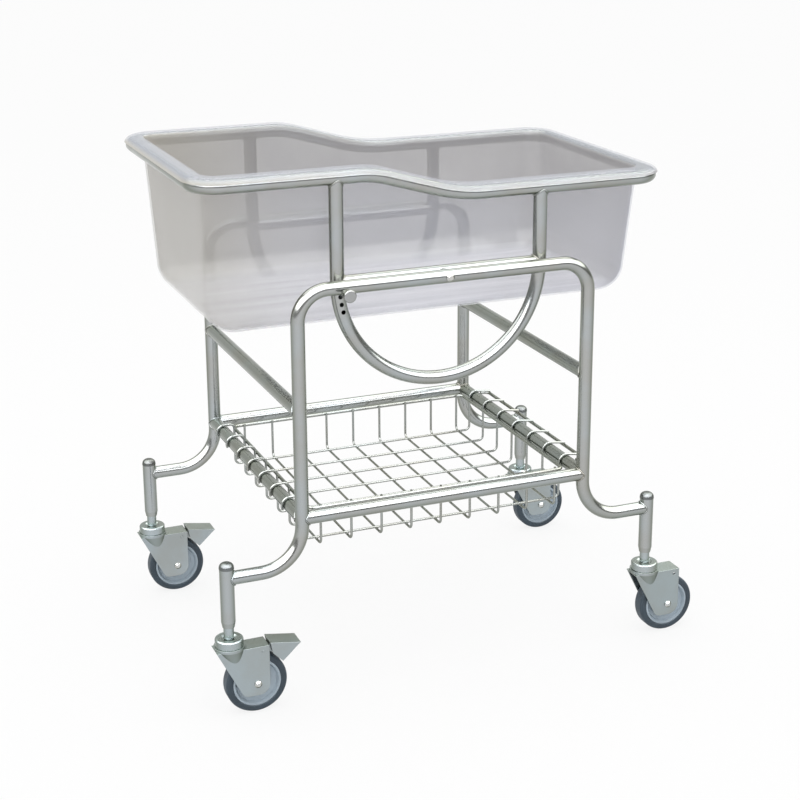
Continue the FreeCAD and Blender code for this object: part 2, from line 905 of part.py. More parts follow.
def tub():
    """Clear moulded tub whose walls fold out into a flange that rests on the stepped rim."""
    wall, fold = value("tub_wall"), value("flange_fold")
    under = value("pipe_radius + running_gap")
    top = value("rim_head_height + 2 * flange_radius")
    walls = tub_form(0, top).cut(above_step(under + wall / 2))
    shell = walls.fuse(swept(rim_loop(), flange_section()))
    shell = shell.cut(tub_form(wall, top + wall)).removeSplitter()
    shell = shell.makeFillet(fold + wall, fold_edges(shell, under + wall))
    shell = shell.makeFillet(fold, fold_edges(shell, under))
    return shaped("tub", shell)


# ---------------------------------------------------------------- wire basket


def basket_rim_wire():
    """Rim wire: inside the long rails, over the end rails and down outside them."""
    end, side = value("basket_rim_end"), value("basket_rim_side")
    low, crest = value("basket_rim_height"), value("basket_rim_crest")
    crank, corner = value("basket_crank"), value("basket_rim_corner")
    inside = value("leg_place - pipe_radius - rim_wire_radius")
    bend = value("basket_crank_bend")
    quarter = [
        (Vector(inside - bend / 2 - crank, -side, low), bend),
        (Vector(inside - bend / 2, -side, crest), bend),
        (Vector(end, -side, crest), corner),
        (Vector(end, -side + corner + bend / 2, crest), bend),
        (Vector(end, -side + corner + bend / 2 + crank, low), bend),
    ]
    mirror_y = [(Vector(p.x, -p.y, p.z), r) for p, r in reversed(quarter)]
    foot_half = quarter + mirror_y
    head_half = [(Vector(-p.x, p.y, p.z), r) for p, r in reversed(foot_half)]
    path = rounded_wire([(Vector(0, -side, low), 0)] + foot_half + head_half, closed=True)
    return shaped("basket_rim_wire", swept(path, circle_section(path, value("rim_wire_radius"))))


def hook_point(sign):
    """End of a long wire's hook, resting on the rim wire outside the end rail."""
    lift = "(rim_wire_radius + wire_radius + weld_gap) * 1.05"
    return (f"{sign} * (basket_rim_end)", f"basket_rim_height + {lift}")


def basket_long_wires():
    """Floor wires along the basket, hooked over both end rails."""
    body = new_body("basket_long_wire")
    path = sketch(body, "XZ_Plane")
    inside = "basket_inside"
    floor_line = [
        (f"-({inside})", "shelf_height"),
        (f"-({inside})", "basket_floor_height", "basket_bend"),
        (inside, "basket_floor_height", "basket_bend"),
        (inside, "shelf_height"),
    ]
    outline(path, floor_line, closed=False)
    last_side = 2
    for sign, side, side_end in ((-1, 0, 1), (1, last_side, 2)):
        hook_over(path, sign, side, side_end)
    section = sketch(body, "YZ_Plane")
    circle(section, "0", "basket_floor_height", "wire_radius")
    sweep = body.newObject("PartDesign::AdditivePipe", "Sweep")
    sweep.Profile = section
    doc.recompute()
    sweep.Spine = (path, [f"Edge{number + 1}" for number in range(len(path.Shape.Edges))])
    middle = (SIZES["long_wire_count"] - 1) / 2
    rows = [f"{number - middle} * long_wire_pitch" for number in range(SIZES["long_wire_count"])]
    return group("basket_long_wires", copies(body, [("0", row_y, "0", 0) for row_y in rows]))


def hook_over(path, sign, side, side_end):
    """Arc over an end rail and a straight tail that slopes down to the rim wire."""
    centre = Vector(sign * value("leg_place"), value("shelf_height"), 0)
    radius = value("hook_radius")
    tail_x, tail_z = hook_point(sign)
    tail = Vector(value(tail_x), value(tail_z), 0)
    away = tail - centre
    turn = math.acos(radius / away.Length)
    leave = math.atan2(away.y, away.x) + sign * turn
    touch = centre + Vector(math.cos(leave), math.sin(leave), 0) * radius
    angles = (leave, math.pi) if sign > 0 else (0, leave)
    arc = Part.ArcOfCircle(Part.Circle(centre, Vector(0, 0, 1), radius), *angles)
    bend = path.addGeometry(arc)
    tail_line = path.addGeometry(Part.LineSegment(touch, tail))
    leave_end, meet_end = (1, 2) if sign > 0 else (2, 1)
    rules = [
        (Sketcher.Constraint("Coincident", side, side_end, bend, meet_end), None),
        (Sketcher.Constraint("Tangent", tail_line, 1, bend, leave_end), None),
        (Sketcher.Constraint("Radius", bend, radius), "hook_radius"),
        (Sketcher.Constraint("DistanceY", bend, 3, centre.y), "shelf_height"),
    ]
    constrain(path, rules + fix_point(tail_line, 2, tail_x, tail_z))


def basket_cross_wires():
    """Floor wires across the basket, turned up to the rim wire at both ends."""
    top = "basket_rim_height + cross_wire_rise"
    corners = [
        ("-cross_wire_side", top),
        ("-cross_wire_side", "cross_wire_height", "basket_bend"),
        ("cross_wire_side", "cross_wire_height", "basket_bend"),
        ("cross_wire_side", top),
    ]
    start = ("XY_Plane", top, "-cross_wire_side", "0")
    wire = bent_tube("basket_cross_wire", corners, *start, "wire_radius")
    middle = (SIZES["cross_wire_count"] - 1) / 2
    columns = [f"{number - middle} * cross_wire_pitch" for number in range(SIZES["cross_wire_count"])]
    return group("basket_cross_wires", copies(wire, [(column, "0", "0", 90) for column in columns]))


# ---------------------------------------------------------------- casters


def caster_stem(label, x, y):
    """Stem in the post, with the kingpin and its riveted head under the fork's crown."""
    pin = "kingpin_diameter / 2"
    head = "kingpin_head / 2"
    head_top = "fork_ceiling - running_gap"
    neck = "stem_neck / 2"
    plug = "post_bore - weld_gap"
    body = turned(
        label,
        [
            ("0", f"{head_top} - kingpin_head_height"),
            (head, f"{head_top} - kingpin_head_height"),
            (head, head_top),
            (pin, head_top),
            (pin, "cup_top"),
            (neck, "cup_top"),
            (neck, "post_bottom + post_swage"),
            (plug, "post_bottom + post_swage + weld_gap"),
            (plug, "post_bottom + stem_length"),
            ("0", "post_bottom + stem_length"),
        ],
    )
    return place(body, x, y)


def bearing_cup(label, x, y):
    """Upper cup of the swivel's ball race, fixed to the stem."""
    bore = "kingpin_diameter / 2 + weld_gap"
    body = turned(
        label,
        [
            (bore, "cup_bottom"),
            ("cup_radius", "cup_bottom"),
            ("cup_radius", "cup_top", "cup_round"),
            ("stem_neck / 2 + 5", "cup_top"),
            ("stem_neck / 2 + 2", "cup_top - 2"),
            ("stem_neck / 2 + weld_gap", "cup_top - 2"),
            (bore, "cup_top - 2"),
        ],
    )
    return place(body, x, y)


def caster_fork(label, x, y, has_brake):
    """Pressed fork: a round crown that flows into two flat legs trailing to the axle."""
    body = new_body(label)
    legs = sketch(body, "XZ_Plane")
    axle_x, axle_z = "caster_trail", "wheel_radius"
    right = "caster_trail + fork_leg_half"
    nose = "-(race_radius)"
    outline(
        legs,
        [
            (nose, "fork_roof"),
            ("caster_trail - fork_leg_radius * 1.13", "wheel_radius - fork_leg_radius * 0.97", "13"),
            (right, "wheel_radius - fork_leg_radius * 0.97", "fork_leg_radius * 0.9"),
            (right, "fork_roof"),
        ],
    )
    pad(body, legs, "fork_width", both=True)
    crown_sections(body, "AdditiveLoft", "fork_roof", "race_radius", "fork_half", "0")
    lip = sketch(body, "XY_Plane", "fork_roof")
    circle(lip, "0", "0", "race_radius")
    pad(body, lip, "race_lip")
    inside = sketch(body, "XZ_Plane")
    rectangle(inside, "-fork_width", "0", "2 * caster_trail", "fork_ceiling")
    deep_pocket(body, inside, "2 * (fork_inside)")
    inner_radius = "race_radius - fork_sheet"
    crown_sections(body, "SubtractiveLoft", "fork_ceiling", inner_radius, "fork_inside", "-1")
    cut_circles(body, "XY_Plane", [("0", "0")], "kingpin_diameter / 2 + shaft_gap")
    cut_circles(body, "XZ_Plane", [(axle_x, axle_z)], "axle_diameter / 2 + shaft_gap")
    pin_hole = [("brake_pin_place", "brake_pin_height")]
    if has_brake:
        cut_circles(body, "XZ_Plane", pin_hole, "brake_pin_diameter / 2 + shaft_gap")
    else:
        cut_circles(body, "XZ_Plane", pin_hole, "brake_pin_diameter / 2")
    return place(body, x, y)


def crown_sections(body, kind, top, top_radius, low_radius, low_shift):
    """Cone between the round crown and the narrower leg section below it."""
    upper = sketch(body, "XY_Plane", top)
    circle(upper, "0", "0", top_radius)
    lower = sketch(body, "XY_Plane", f"cone_bottom + ({low_shift})")
    circle(lower, "fork_cone_shift", "0", low_radius)
    loft = body.newObject(f"PartDesign::{kind}", kind)
    loft.Profile = upper
    loft.Sections = [lower]
    return loft


def axle_bolt(label, x, y):
    """Axle bolt with a low domed head outside the fork."""
    shank, head = "axle_diameter / 2", "axle_head_diameter / 2"
    seat = "fork_half + weld_gap"
    body = turned(
        label,
        [
            ("0", f"-({seat}) - axle_head_rise"),
            (f"{head} * 0.5", f"-({seat}) - axle_head_rise"),
            (head, f"-({seat}) - axle_head_rise * 0.35"),
            (head, f"-({seat})"),
            (shank, f"-({seat})"),
            (shank, f"{seat} + axle_nut_height + 2"),
            ("0", f"{seat} + axle_nut_height + 2"),
        ],
    )
    body.Placement.Rotation = FreeCAD.Rotation(Vector(1, 0, 0), -90)
    return place(body, f"{x} + caster_trail", y, "wheel_radius")


def axle_nut(label, x, y):
    """Six-sided nut on the axle bolt."""
    body = new_body(label)
    seat = "-(fork_half + weld_gap)"
    hexagon = sketch(body, "XZ_Plane", seat)
    across_corners = "axle_nut_diameter / 2 / cos(30)"
    sixth = [f"{60 * number}" for number in range(6)]
    outline(hexagon, [(f"{across_corners} * cos({a})", f"{across_corners} * sin({a})") for a in sixth])
    feature = pad(body, hexagon, "axle_nut_height")
    feature.Reversed = True
    cut_circles(body, "XZ_Plane", [("0", "0")], "axle_diameter / 2 + weld_gap / 2")
    return place(body, f"{x} + caster_trail", y, "wheel_radius")


def wheel_hub(label, x, y):
    """Moulded core: a boss on the axle, a web and a ring under the tread."""
    bore = "axle_diameter / 2 + shaft_gap"
    ring = "hub_radius - hub_ring"
    face = "wheel_width / 2 - 1"
    half = [
        (bore, "hub_half"),
        ("hub_boss_diameter / 2", "hub_half"),
        ("hub_boss_diameter / 2 + 1", "hub_web / 2 + 3"),
        (f"{ring} - 3", "hub_web / 2 + 3"),
        (f"{ring}", f"{face} + hub_ring_rise - 0.4"),
        ("hub_radius", f"{face}"),
    ]
    other_half = [(radius, f"-({height})") for radius, height in reversed(half)]
    body = turned(label, half + other_half)
    body.Placement.Rotation = FreeCAD.Rotation(Vector(1, 0, 0), -90)
    return place(body, f"{x} + caster_trail", y, "wheel_radius")


def wheel_tread(label, x, y):
    """Rubber tread with rounded shoulders."""
    inside = "hub_radius + weld_gap"
    half = "wheel_width / 2"
    body = turned(
        label,
        [
            (inside, f"-({half} - 1)"),
            (f"{inside} + 1.5", f"-({half})"),
            ("wheel_radius", f"-({half})", "tread_shoulder"),
            ("wheel_radius", half, "tread_shoulder"),
            (f"{inside} + 1.5", half),
            (inside, f"{half} - 1"),
        ],
    )
    body.Placement.Rotation = FreeCAD.Rotation(Vector(1, 0, 0), -90)
    return place(body, f"{x} + caster_trail", y, "wheel_radius")


def brake_pin(label, x, y):
    """Pin through both fork legs that carries the brake pedal."""
    body = new_body(label)
    section = sketch(body, "XZ_Plane")
    circle(section, "0", "0", "brake_pin_diameter / 2")
    pad(body, section, "fork_width + 1", both=True)
    return place(body, f"{x} + brake_pin_place", y, "brake_pin_height")


def brake_pedal(label, x, y):
    """Wedge pedal with two side cheeks and a shoe that bears on the tread when pressed."""
    body = new_body(label)
    cheeks = sketch(body, "XZ_Plane")
    start, end = "caster_trail + pedal_start", "caster_trail + pedal_end"
    heel = "caster_trail + fork_leg_half + pedal_start"
    outline(
        cheeks,
        [
            (start, "pedal_top"),
            (f"{start} + 4", "pedal_top - 19"),
            (heel, "pedal_heel_height"),
            (f"{heel} + 9", "pedal_heel_height + 8"),
            (f"{end} - 6", "pedal_tip_height - 5"),
            (end, "pedal_tip_height"),
        ],
    )
    pad(body, cheeks, "fork_width", both=True)
    hollow = sketch(body, "XZ_Plane")
    outline(
        hollow,
        [
            (f"{start} - 5", "pedal_heel_height - 10"),
            (f"{end} + 5", "pedal_heel_height - 10"),
            (f"{end} + 5", "pedal_tip_height - pedal_sheet - 0.8"),
            (f"{start} - 5", "pedal_top - pedal_sheet + 0.8"),
        ],
    )
    deep_pocket(body, hollow, "fork_width - 2 * pedal_sheet")
    pedal_web(body)
    pin_bore = [("brake_pin_place", "brake_pin_height")]
    cut_circles(body, "XZ_Plane", pin_bore, "brake_pin_diameter / 2 + shaft_gap")
    return place(body, x, y)


def pedal_web(body):
    """Hub on the pin, shoe above the tread and web up to the pedal's top."""
    web = sketch(body, "XZ_Plane")
    pin_x, pin_z = "brake_pin_place", "brake_pin_height"
    outline(
        web,
        [
            (f"{pin_x} - 4.6", f"{pin_z} - 3.6", "2"),
            (f"{pin_x} + 10", f"{pin_z} - 3.6"),
            (f"{pin_x} + 16", f"{pin_z} - shoe_drop"),
            (f"{pin_x} + 22", f"{pin_z} - shoe_drop + 4"),
            ("caster_trail + pedal_start + 12", "pedal_top - 3.2"),
            ("caster_trail + pedal_start + 1", "pedal_top - 1"),
            ("caster_trail + pedal_start", f"{pin_z} + 4.6"),
            (f"{pin_x} - 4.6", f"{pin_z} + 4.6", "4"),
        ],
    )
    pad(body, web, "shoe_width", both=True)


def casters():
    """Four swivel casters, the two at the head with wheel brakes."""
    made = []
    for side_name, across_sign in (("front", -1), ("rear", 1)):
        for end_name, along_sign in (("head", -1), ("foot", 1)):
            name = f"{side_name}_{end_name}"
            where = (f"{along_sign} * (caster_place)", f"{across_sign} * (side_place)")
            has_brake = end_name == "head"
            made += [
                caster_post(f"caster_post_{name}", *where),
                caster_stem(f"caster_stem_{name}", *where),
                bearing_cup(f"bearing_cup_{name}", *where),
                caster_fork(f"caster_fork_{name}", *where, has_brake),
                axle_bolt(f"axle_bolt_{name}", *where),
                axle_nut(f"axle_nut_{name}", *where),
                wheel_hub(f"wheel_hub_{name}", *where),
                wheel_tread(f"wheel_tread_{name}", *where),
            ]
            if has_brake:
                made.append(brake_pin(f"brake_pin_{name}", *where))
                made.append(brake_pedal(f"brake_pedal_{name}", *where))
    return made


# ---------------------------------------------------------------- the whole bassinet


def build():
    nodes = [
        side_frame("side_frame_front", "-side_place", True),
        side_frame("side_frame_rear", "side_place", False),
        cross_tube("cross_tube_head", "-leg_place", "cross_tube_height"),
        cross_tube("cross_tube_foot", "leg_place", "cross_tube_height"),
        long_shelf_rail("shelf_rail_front", "-side_place", 1),
        long_shelf_rail("shelf_rail_rear", "side_place", -1),
        end_shelf_rail("shelf_rail_head", "-leg_place", 1),
        end_shelf_rail("shelf_rail_foot", "leg_place", -1),
        post_caps(),
        rim_tube(),
        yoke("yoke_front", "-cradle_place", True),
        yoke("yoke_rear", "cradle_place", False),
        yoke_bar("yoke_bar_front", "-cradle_place"),
        yoke_bar("yoke_bar_rear", "cradle_place"),
        both_pivots("pivot_bolts", pivot_bolt()),
        both_pivots("pivot_bushes", pivot_bush()),
        both_pivots("pivot_nuts", pivot_nut()),
        lock_sleeve(),
        lock_plunger(),
        lock_knob(),
        tub(),
        basket_rim_wire(),
        basket_long_wires(),
        basket_cross_wires(),
    ]
    return nodes + casters()


CUTS = ("PartDesign::Pocket", "PartDesign::Groove", "PartDesign::SubtractiveLoft")


def check(nodes):
    """Stop if any object failed, any cut removed nothing or any sub-part is not sound."""
    for thing in doc.Objects:
        if "Invalid" in thing.State or "Error" in thing.State:
            raise RuntimeError(f"{thing.Label} failed: {thing.State}")
        if thing.TypeId in CUTS:
            before = thing.BaseFeature.Shape
            same_faces = len(thing.Shape.Faces) == len(before.Faces)
            if same_faces and thing.Shape.Volume >= before.Volume - 1e-6:
                raise RuntimeError(f"{thing.Label} of {thing.getParent().Label} cuts nothing")
    for node in nodes:
        if node.Shape.isNull() or not node.Shape.isValid():
            raise RuntimeError(f"{node.Label} has no sound shape")


def main():
    nodes = build()
    doc.recompute()
    check(nodes)
    os.makedirs("parts", exist_ok=True)
    for node in nodes:
        node.Shape.exportStep(f"parts/{node.Label}.step")
        print(node.Label, len(node.Shape.Solids), round(node.Shape.Volume))


main()
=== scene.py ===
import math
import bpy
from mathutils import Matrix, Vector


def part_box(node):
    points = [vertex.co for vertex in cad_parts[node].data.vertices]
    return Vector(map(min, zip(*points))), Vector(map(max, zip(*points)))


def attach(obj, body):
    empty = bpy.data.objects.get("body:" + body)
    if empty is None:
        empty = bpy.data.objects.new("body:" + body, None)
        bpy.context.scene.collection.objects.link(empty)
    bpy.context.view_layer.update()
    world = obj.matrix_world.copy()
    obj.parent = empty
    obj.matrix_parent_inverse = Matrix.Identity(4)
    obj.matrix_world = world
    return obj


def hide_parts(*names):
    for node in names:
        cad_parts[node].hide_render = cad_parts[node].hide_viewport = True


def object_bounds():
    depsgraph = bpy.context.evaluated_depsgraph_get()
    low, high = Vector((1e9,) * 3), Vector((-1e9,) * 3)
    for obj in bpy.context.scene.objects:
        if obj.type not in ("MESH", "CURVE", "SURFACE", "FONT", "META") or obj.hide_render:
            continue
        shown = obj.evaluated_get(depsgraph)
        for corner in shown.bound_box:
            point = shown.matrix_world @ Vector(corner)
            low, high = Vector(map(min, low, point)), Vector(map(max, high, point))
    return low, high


bl_info = {
    "name": "Hospital Bassinet",
    "version": (1, 0, 0),
    "blender": (4, 5, 0),
    "location": "View3D > Sidebar > Bassinet",
    "description": "Finishes, weld beads and studio for a tube-frame hospital bassinet",
    "category": "Object",
}

import bmesh
import bpy
from bpy.props import FloatProperty, FloatVectorProperty, IntProperty, PointerProperty
from mathutils import Matrix, Vector

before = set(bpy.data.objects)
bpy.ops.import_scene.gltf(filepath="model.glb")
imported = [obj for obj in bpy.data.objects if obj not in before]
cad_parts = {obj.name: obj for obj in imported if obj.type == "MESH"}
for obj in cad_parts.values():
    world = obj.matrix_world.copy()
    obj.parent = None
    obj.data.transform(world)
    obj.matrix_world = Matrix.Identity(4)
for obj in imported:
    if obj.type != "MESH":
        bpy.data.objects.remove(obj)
CAD_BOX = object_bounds()

MM = 0.001
TUBE = 11 * MM  # radius of the cart's and the cradle's tube
POST = 11.5 * MM  # radius of the posts over the casters
MIDDLE = (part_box("side_frame_front")[0].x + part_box("side_frame_front")[1].x) / 2
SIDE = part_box("side_frame_rear")[1].y - TUBE  # from the middle to a side frame
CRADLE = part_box("yoke_rear")[1].y - TUBE  # from the middle to a yoke
LEG = 245 * MM  # from the middle to a leg
YOKE = 171 * MM  # from the middle to a yoke's post
POST_PLACE = 369 * MM  # from the middle to a caster
FOOT_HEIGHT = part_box("side_frame_front")[0].z + TUBE
SHELF = (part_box("shelf_rail_head")[0].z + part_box("shelf_rail_head")[1].z) / 2
SIDE_RAIL = (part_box("shelf_rail_front")[0].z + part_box("shelf_rail_front")[1].z) / 2
CROSS_TUBE = (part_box("cross_tube_head")[0].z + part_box("cross_tube_head")[1].z) / 2
TUB_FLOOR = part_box("tub")[0].z
RIM_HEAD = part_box("rim_tube")[1].z - TUBE
RIM_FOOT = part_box("rim_tube")[0].z + TUBE
GAP = 0.3 * MM  # between parts that slide on each other
TOUCH = 0.05 * MM  # between wires that are fused together
TOP_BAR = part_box("side_frame_front")[1].z - TUBE
CORNERS = ("front_head", "front_foot", "rear_head", "rear_foot")

TUBE_NODES = (
    "side_frame_front",
    "side_frame_rear",
    "cross_tube_head",
    "cross_tube_foot",
    "shelf_rail_front",
    "shelf_rail_rear",
    "shelf_rail_head",
    "shelf_rail_foot",
    "yoke_front",
    "yoke_rear",
    "yoke_bar_front",
    "yoke_bar_rear",
) + tuple(f"caster_post_{corner}" for corner in CORNERS)
FORK_NODES = tuple(f"caster_fork_{corner}" for corner in CORNERS)
CUP_NODES = tuple(f"bearing_cup_{corner}" for corner in CORNERS)
STEM_NODES = tuple(f"caster_stem_{corner}" for corner in CORNERS)
PEDAL_NODES = (
    "brake_pedal_front_head",
    "brake_pedal_rear_head",
    "brake_pin_front_head",
    "brake_pin_rear_head",
)
BOLT_NODES = (
    *(f"axle_bolt_{corner}" for corner in CORNERS),
    *(f"axle_nut_{corner}" for corner in CORNERS),
    "pivot_bolts",
    "pivot_nuts",
    "lock_plunger",
    "lock_sleeve",
    "pivot_bushes",
)
HUB_NODES = tuple(f"wheel_hub_{corner}" for corner in CORNERS)
TREAD_NODES = tuple(f"wheel_tread_{corner}" for corner in CORNERS)

NUMBER = "NodeSocketFloat"
COLOUR = "NodeSocketColor"
DIRECTION = "NodeSocketVector"
SHAPE = "NodeSocketGeometry"
WHOLE = "NodeSocketInt"
FINISH = "NodeSocketMaterial"

MARK_RANGE = (0.35, 0.65)  # where the polish marks' mask mostly lies
MARK_DEPTH = 0.4 * MM
SPECKLE_SCALE = 420.0
# colour of the painted shade on the sides of metal that turn away from the eye
METAL_PAINTED_SHADE = (0.48, 0.5, 0.43, 1)
BRIGHT_STEEL = (0.66, 0.67, 0.68)
KNOB_STEEL = (0.42, 0.43, 0.44)

FLOOR_FADE = (TUB_FLOOR + 2 * MM, TUB_FLOOR + 16 * MM)
FLANGE_FADE = (740 * MM, 770 * MM)
HEAD_WARM_FADE = (CAD_BOX[0].x, MIDDLE - 140 * MM)
HEAD_WARM_TINT = (1.24, 1.21, 1.04)
SKIN_COLOUR = (0.66, 0.69, 0.8, 1)
FLOOR_COLOUR = (0.84, 0.84, 0.9, 1)
STREAK_COLOUR = (0.9, 0.9, 0.94, 1)
FLANGE_COLOUR = (0.54, 0.57, 0.63, 1)

SADDLE_STEPS = 96


# ---------------------------------------------------------------- settings


class BassinetFinishes(bpy.types.PropertyGroup):
    tube: FloatVectorProperty(
        name="Tube steel",
        description="Colour of the polished tube",
        subtype="COLOR",
        default=(0.455, 0.475, 0.485),
        min=0,
        max=1,
    )
    wire: FloatVectorProperty(
        name="Basket wire",
        description="Colour of the basket's wire",
        subtype="COLOR",
        default=(0.43, 0.445, 0.44),
        min=0,
        max=1,
    )
    zinc: FloatVectorProperty(
        name="Zinc plate",
        description="Colour of the pressed caster forks",
        subtype="COLOR",
        default=(0.43, 0.48, 0.51),
        min=0,
        max=1,
    )
    tub: FloatVectorProperty(
        name="Tub",
        description="Tint of the clear tub",
        subtype="COLOR",
        default=(0.43, 0.42, 0.425),
        min=0,
        max=1,
    )
    tub_body: FloatProperty(
        name="Tub haze",
        description="Share of light that the milky inner face of the tub holds back",
        subtype="FACTOR",
        default=0.8,
        min=0,
        max=1,
    )
    tub_skin: FloatProperty(
        name="Tub skin",
        description="Share of light that every other face of the tub holds back",
        subtype="FACTOR",
        default=0.14,
        min=0,
        max=1,
    )
    hub: FloatVectorProperty(
        name="Wheel core",
        description="Colour of the moulded wheel cores",
        subtype="COLOR",
        default=(0.42, 0.5, 0.57),
        min=0,
        max=1,
    )
    tread: FloatVectorProperty(
        name="Tread",
        description="Colour of the rubber treads",
        subtype="COLOR",
        default=(0.03, 0.05, 0.07),
        min=0,
        max=1,
    )


class BassinetBasket(bpy.types.PropertyGroup):
    wire: FloatProperty(
        name="Wire",
        description="Diameter of the floor wires",
        subtype="DISTANCE",
        unit="LENGTH",
        default=4 * MM,
        min=2 * MM,
        max=6 * MM,
    )
    rim: FloatProperty(
        name="Rim wire",
        description="Diameter of the rim wire and the tie rod",
        subtype="DISTANCE",
        unit="LENGTH",
        default=6 * MM,
        min=3 * MM,
        max=9 * MM,
    )
    bend: FloatProperty(
        name="Bend",
        description="Radius of the bends at the foot of the basket's sides",
        subtype="DISTANCE",
        unit="LENGTH",
        default=9 * MM,
        min=4 * MM,
        max=14 * MM,
    )
    rows: IntProperty(
        name="Long wires",
        description="Number of wires along the basket",
        default=7,
        min=3,
        max=15,
    )
    columns: IntProperty(
        name="Cross wires",
        description="Number of wires across the basket",
        default=9,
        min=3,
        max=19,
    )


class BassinetTub(bpy.types.PropertyGroup):
    length: FloatProperty(
        name="Rim length",
        description="Length of the rim tube between the centre lines of its ends",
        subtype="DISTANCE",
        unit="LENGTH",
        default=768 * MM,
        min=700 * MM,
        max=776 * MM,
    )
    corner: FloatProperty(
        name="Rim corner",
        description="Radius of the rim tube's centre line at its corners",
        subtype="DISTANCE",
        unit="LENGTH",
        default=42 * MM,
        min=30 * MM,
        max=75 * MM,
    )
    wall: FloatProperty(
        name="Wall",
        description="Thickness of the tub's sheet",
        subtype="DISTANCE",
        unit="LENGTH",
        default=3 * MM,
        min=2 * MM,
        max=4 * MM,
    )
    fold: FloatProperty(
        name="Floor bend",
        description="Outer radius between the tub's walls and its floor",
        subtype="DISTANCE",
        unit="LENGTH",
        default=48 * MM,
        min=20 * MM,
        max=60 * MM,
    )


class BassinetWelds(bpy.types.PropertyGroup):
    bead: FloatProperty(
        name="Bead",
        description="Radius of the weld beads where tubes meet",
        subtype="DISTANCE",
        unit="LENGTH",
        default=1.3 * MM,
        min=0.5 * MM,
        max=4 * MM,
    )
    ripple: FloatProperty(
        name="Ripple",
        description="How far the bead's ripples rise and fall, as a share of its radius",
        subtype="FACTOR",
        default=0.16,
        min=0,
        max=0.5,
    )
    steps: IntProperty(
        name="Steps",
        description="Number of points round one bead",
        default=96,
        min=24,
        max=256,
    )
    spot: FloatProperty(
        name="Spot",
        description="Radius of the fused spots where basket wires cross",
        subtype="DISTANCE",
        unit="LENGTH",
        default=2.3 * MM,
        min=1 * MM,
        max=5 * MM,
    )


class BassinetStage(bpy.types.PropertyGroup):
    overhead: FloatProperty(
        name="Overhead lamp",
        description="Power of the large soft lamp above the bassinet",
        subtype="POWER",
        unit="POWER",
        default=22,
        min=0,
    )
    softbox: FloatProperty(
        name="Softbox",
        description="Power of the wide softbox that only polished surfaces show",
        subtype="POWER",
        unit="POWER",
        default=2280,
        min=0,
    )
    ambient: FloatProperty(
        name="Ambient",
        description="Strength of the light from the room",
        default=1,
        min=0,
    )
    floor: FloatProperty(
        name="Floor half width",
        description="Distance from the middle of the floor to its edge",
        subtype="DISTANCE",
        unit="LENGTH",
        default=30,
        min=2,
    )


# ---------------------------------------------------------------- node trees


def by_identifier(sockets, identifier):
    return next(socket for socket in sockets if socket.identifier == identifier)


class Wiring:
    """Adds nodes to one tree and joins their sockets."""

    def __init__(self, tree):
        self.tree = tree

    def add(self, kind, inputs=None, **settings):
        node = self.tree.nodes.new(kind)
        for name, setting in settings.items():
            setattr(node, name, setting)
        for name, source in (inputs or {}).items():
            self.feed(source, node.inputs[name])
        return node

    def feed(self, source, socket):
        if isinstance(source, bpy.types.NodeSocket):
            self.tree.links.new(source, socket)
        else:
            socket.default_value = source

    def maths(self, operation, *values):
        return self.add("ShaderNodeMath", dict(enumerate(values)), operation=operation).outputs[0]

    def remap(self, source, low, high, to_low=0.0, to_high=1.0):
        values = {
            "Value": source,
            "From Min": low,
            "From Max": high,
            "To Min": to_low,
            "To Max": to_high,
        }
        return self.add("ShaderNodeMapRange", values).outputs["Result"]

    def noise(self, scale, detail, **inputs):
        values = {**inputs, "Scale": scale, "Detail": detail}
        return self.add("ShaderNodeTexNoise", values).outputs["Fac"]

    def blend(self, factor, first, second, kind="MIX"):
        node = self.add("ShaderNodeMix", data_type="RGBA", blend_type=kind)
        for name, source in (("Factor_Float", factor), ("A_Color", first), ("B_Color", second)):
            self.feed(source, by_identifier(node.inputs, name))
        return by_identifier(node.outputs, "Result_Color")


def start_group(name, kind, inputs, outputs):
    """Empty node group with named sockets; gives the tree, its wiring and its two ends."""
    tree = bpy.data.node_groups.new(name, kind)
    for label, socket_kind, default in inputs:
        socket = tree.interface.new_socket(label, in_out="INPUT", socket_type=socket_kind)
        if default is not None:
            socket.default_value = default
    for label, socket_kind in outputs:
        tree.interface.new_socket(label, in_out="OUTPUT", socket_type=socket_kind)
    wiring = Wiring(tree)
    return tree, wiring, wiring.add("NodeGroupInput"), wiring.add("NodeGroupOutput")


def made_once(build):
    """Keep the node group that a function builds, so that it's built once."""
    kept = {}

    def fetch():
        if build not in kept:
            kept[build] = build()
        return kept[build]

    return fetch


@made_once
def fine_grain():
    """Fine polish marks: a mask for roughness and a bumped normal."""
    tree, wiring, start, end = start_group(
        "Fine grain",
        "ShaderNodeTree",
        [("Scale", NUMBER, 900.0), ("Depth", NUMBER, 0.1)],
        [("Mask", NUMBER), ("Normal", DIRECTION)],
    )
    place = wiring.add("ShaderNodeTexCoord").outputs["Object"]
    fine_scale = start.outputs["Scale"]
    coarse_scale = wiring.maths("MULTIPLY", fine_scale, 0.04)
    fine = wiring.noise(fine_scale, 3.0, Vector=place, Roughness=0.6)
    coarse = wiring.noise(coarse_scale, 4.0, Vector=place, Roughness=0.55)
    fine_part = wiring.maths("MULTIPLY", fine, 0.45)
    coarse_part = wiring.maths("MULTIPLY", coarse, 0.55)
    bump = wiring.add(
        "ShaderNodeBump",
        {"Strength": start.outputs["Depth"], "Distance": MARK_DEPTH, "Height": fine},
    )
    wiring.feed(wiring.maths("ADD", fine_part, coarse_part), end.inputs["Mask"])
    wiring.feed(bump.outputs["Normal"], end.inputs["Normal"])
    return tree


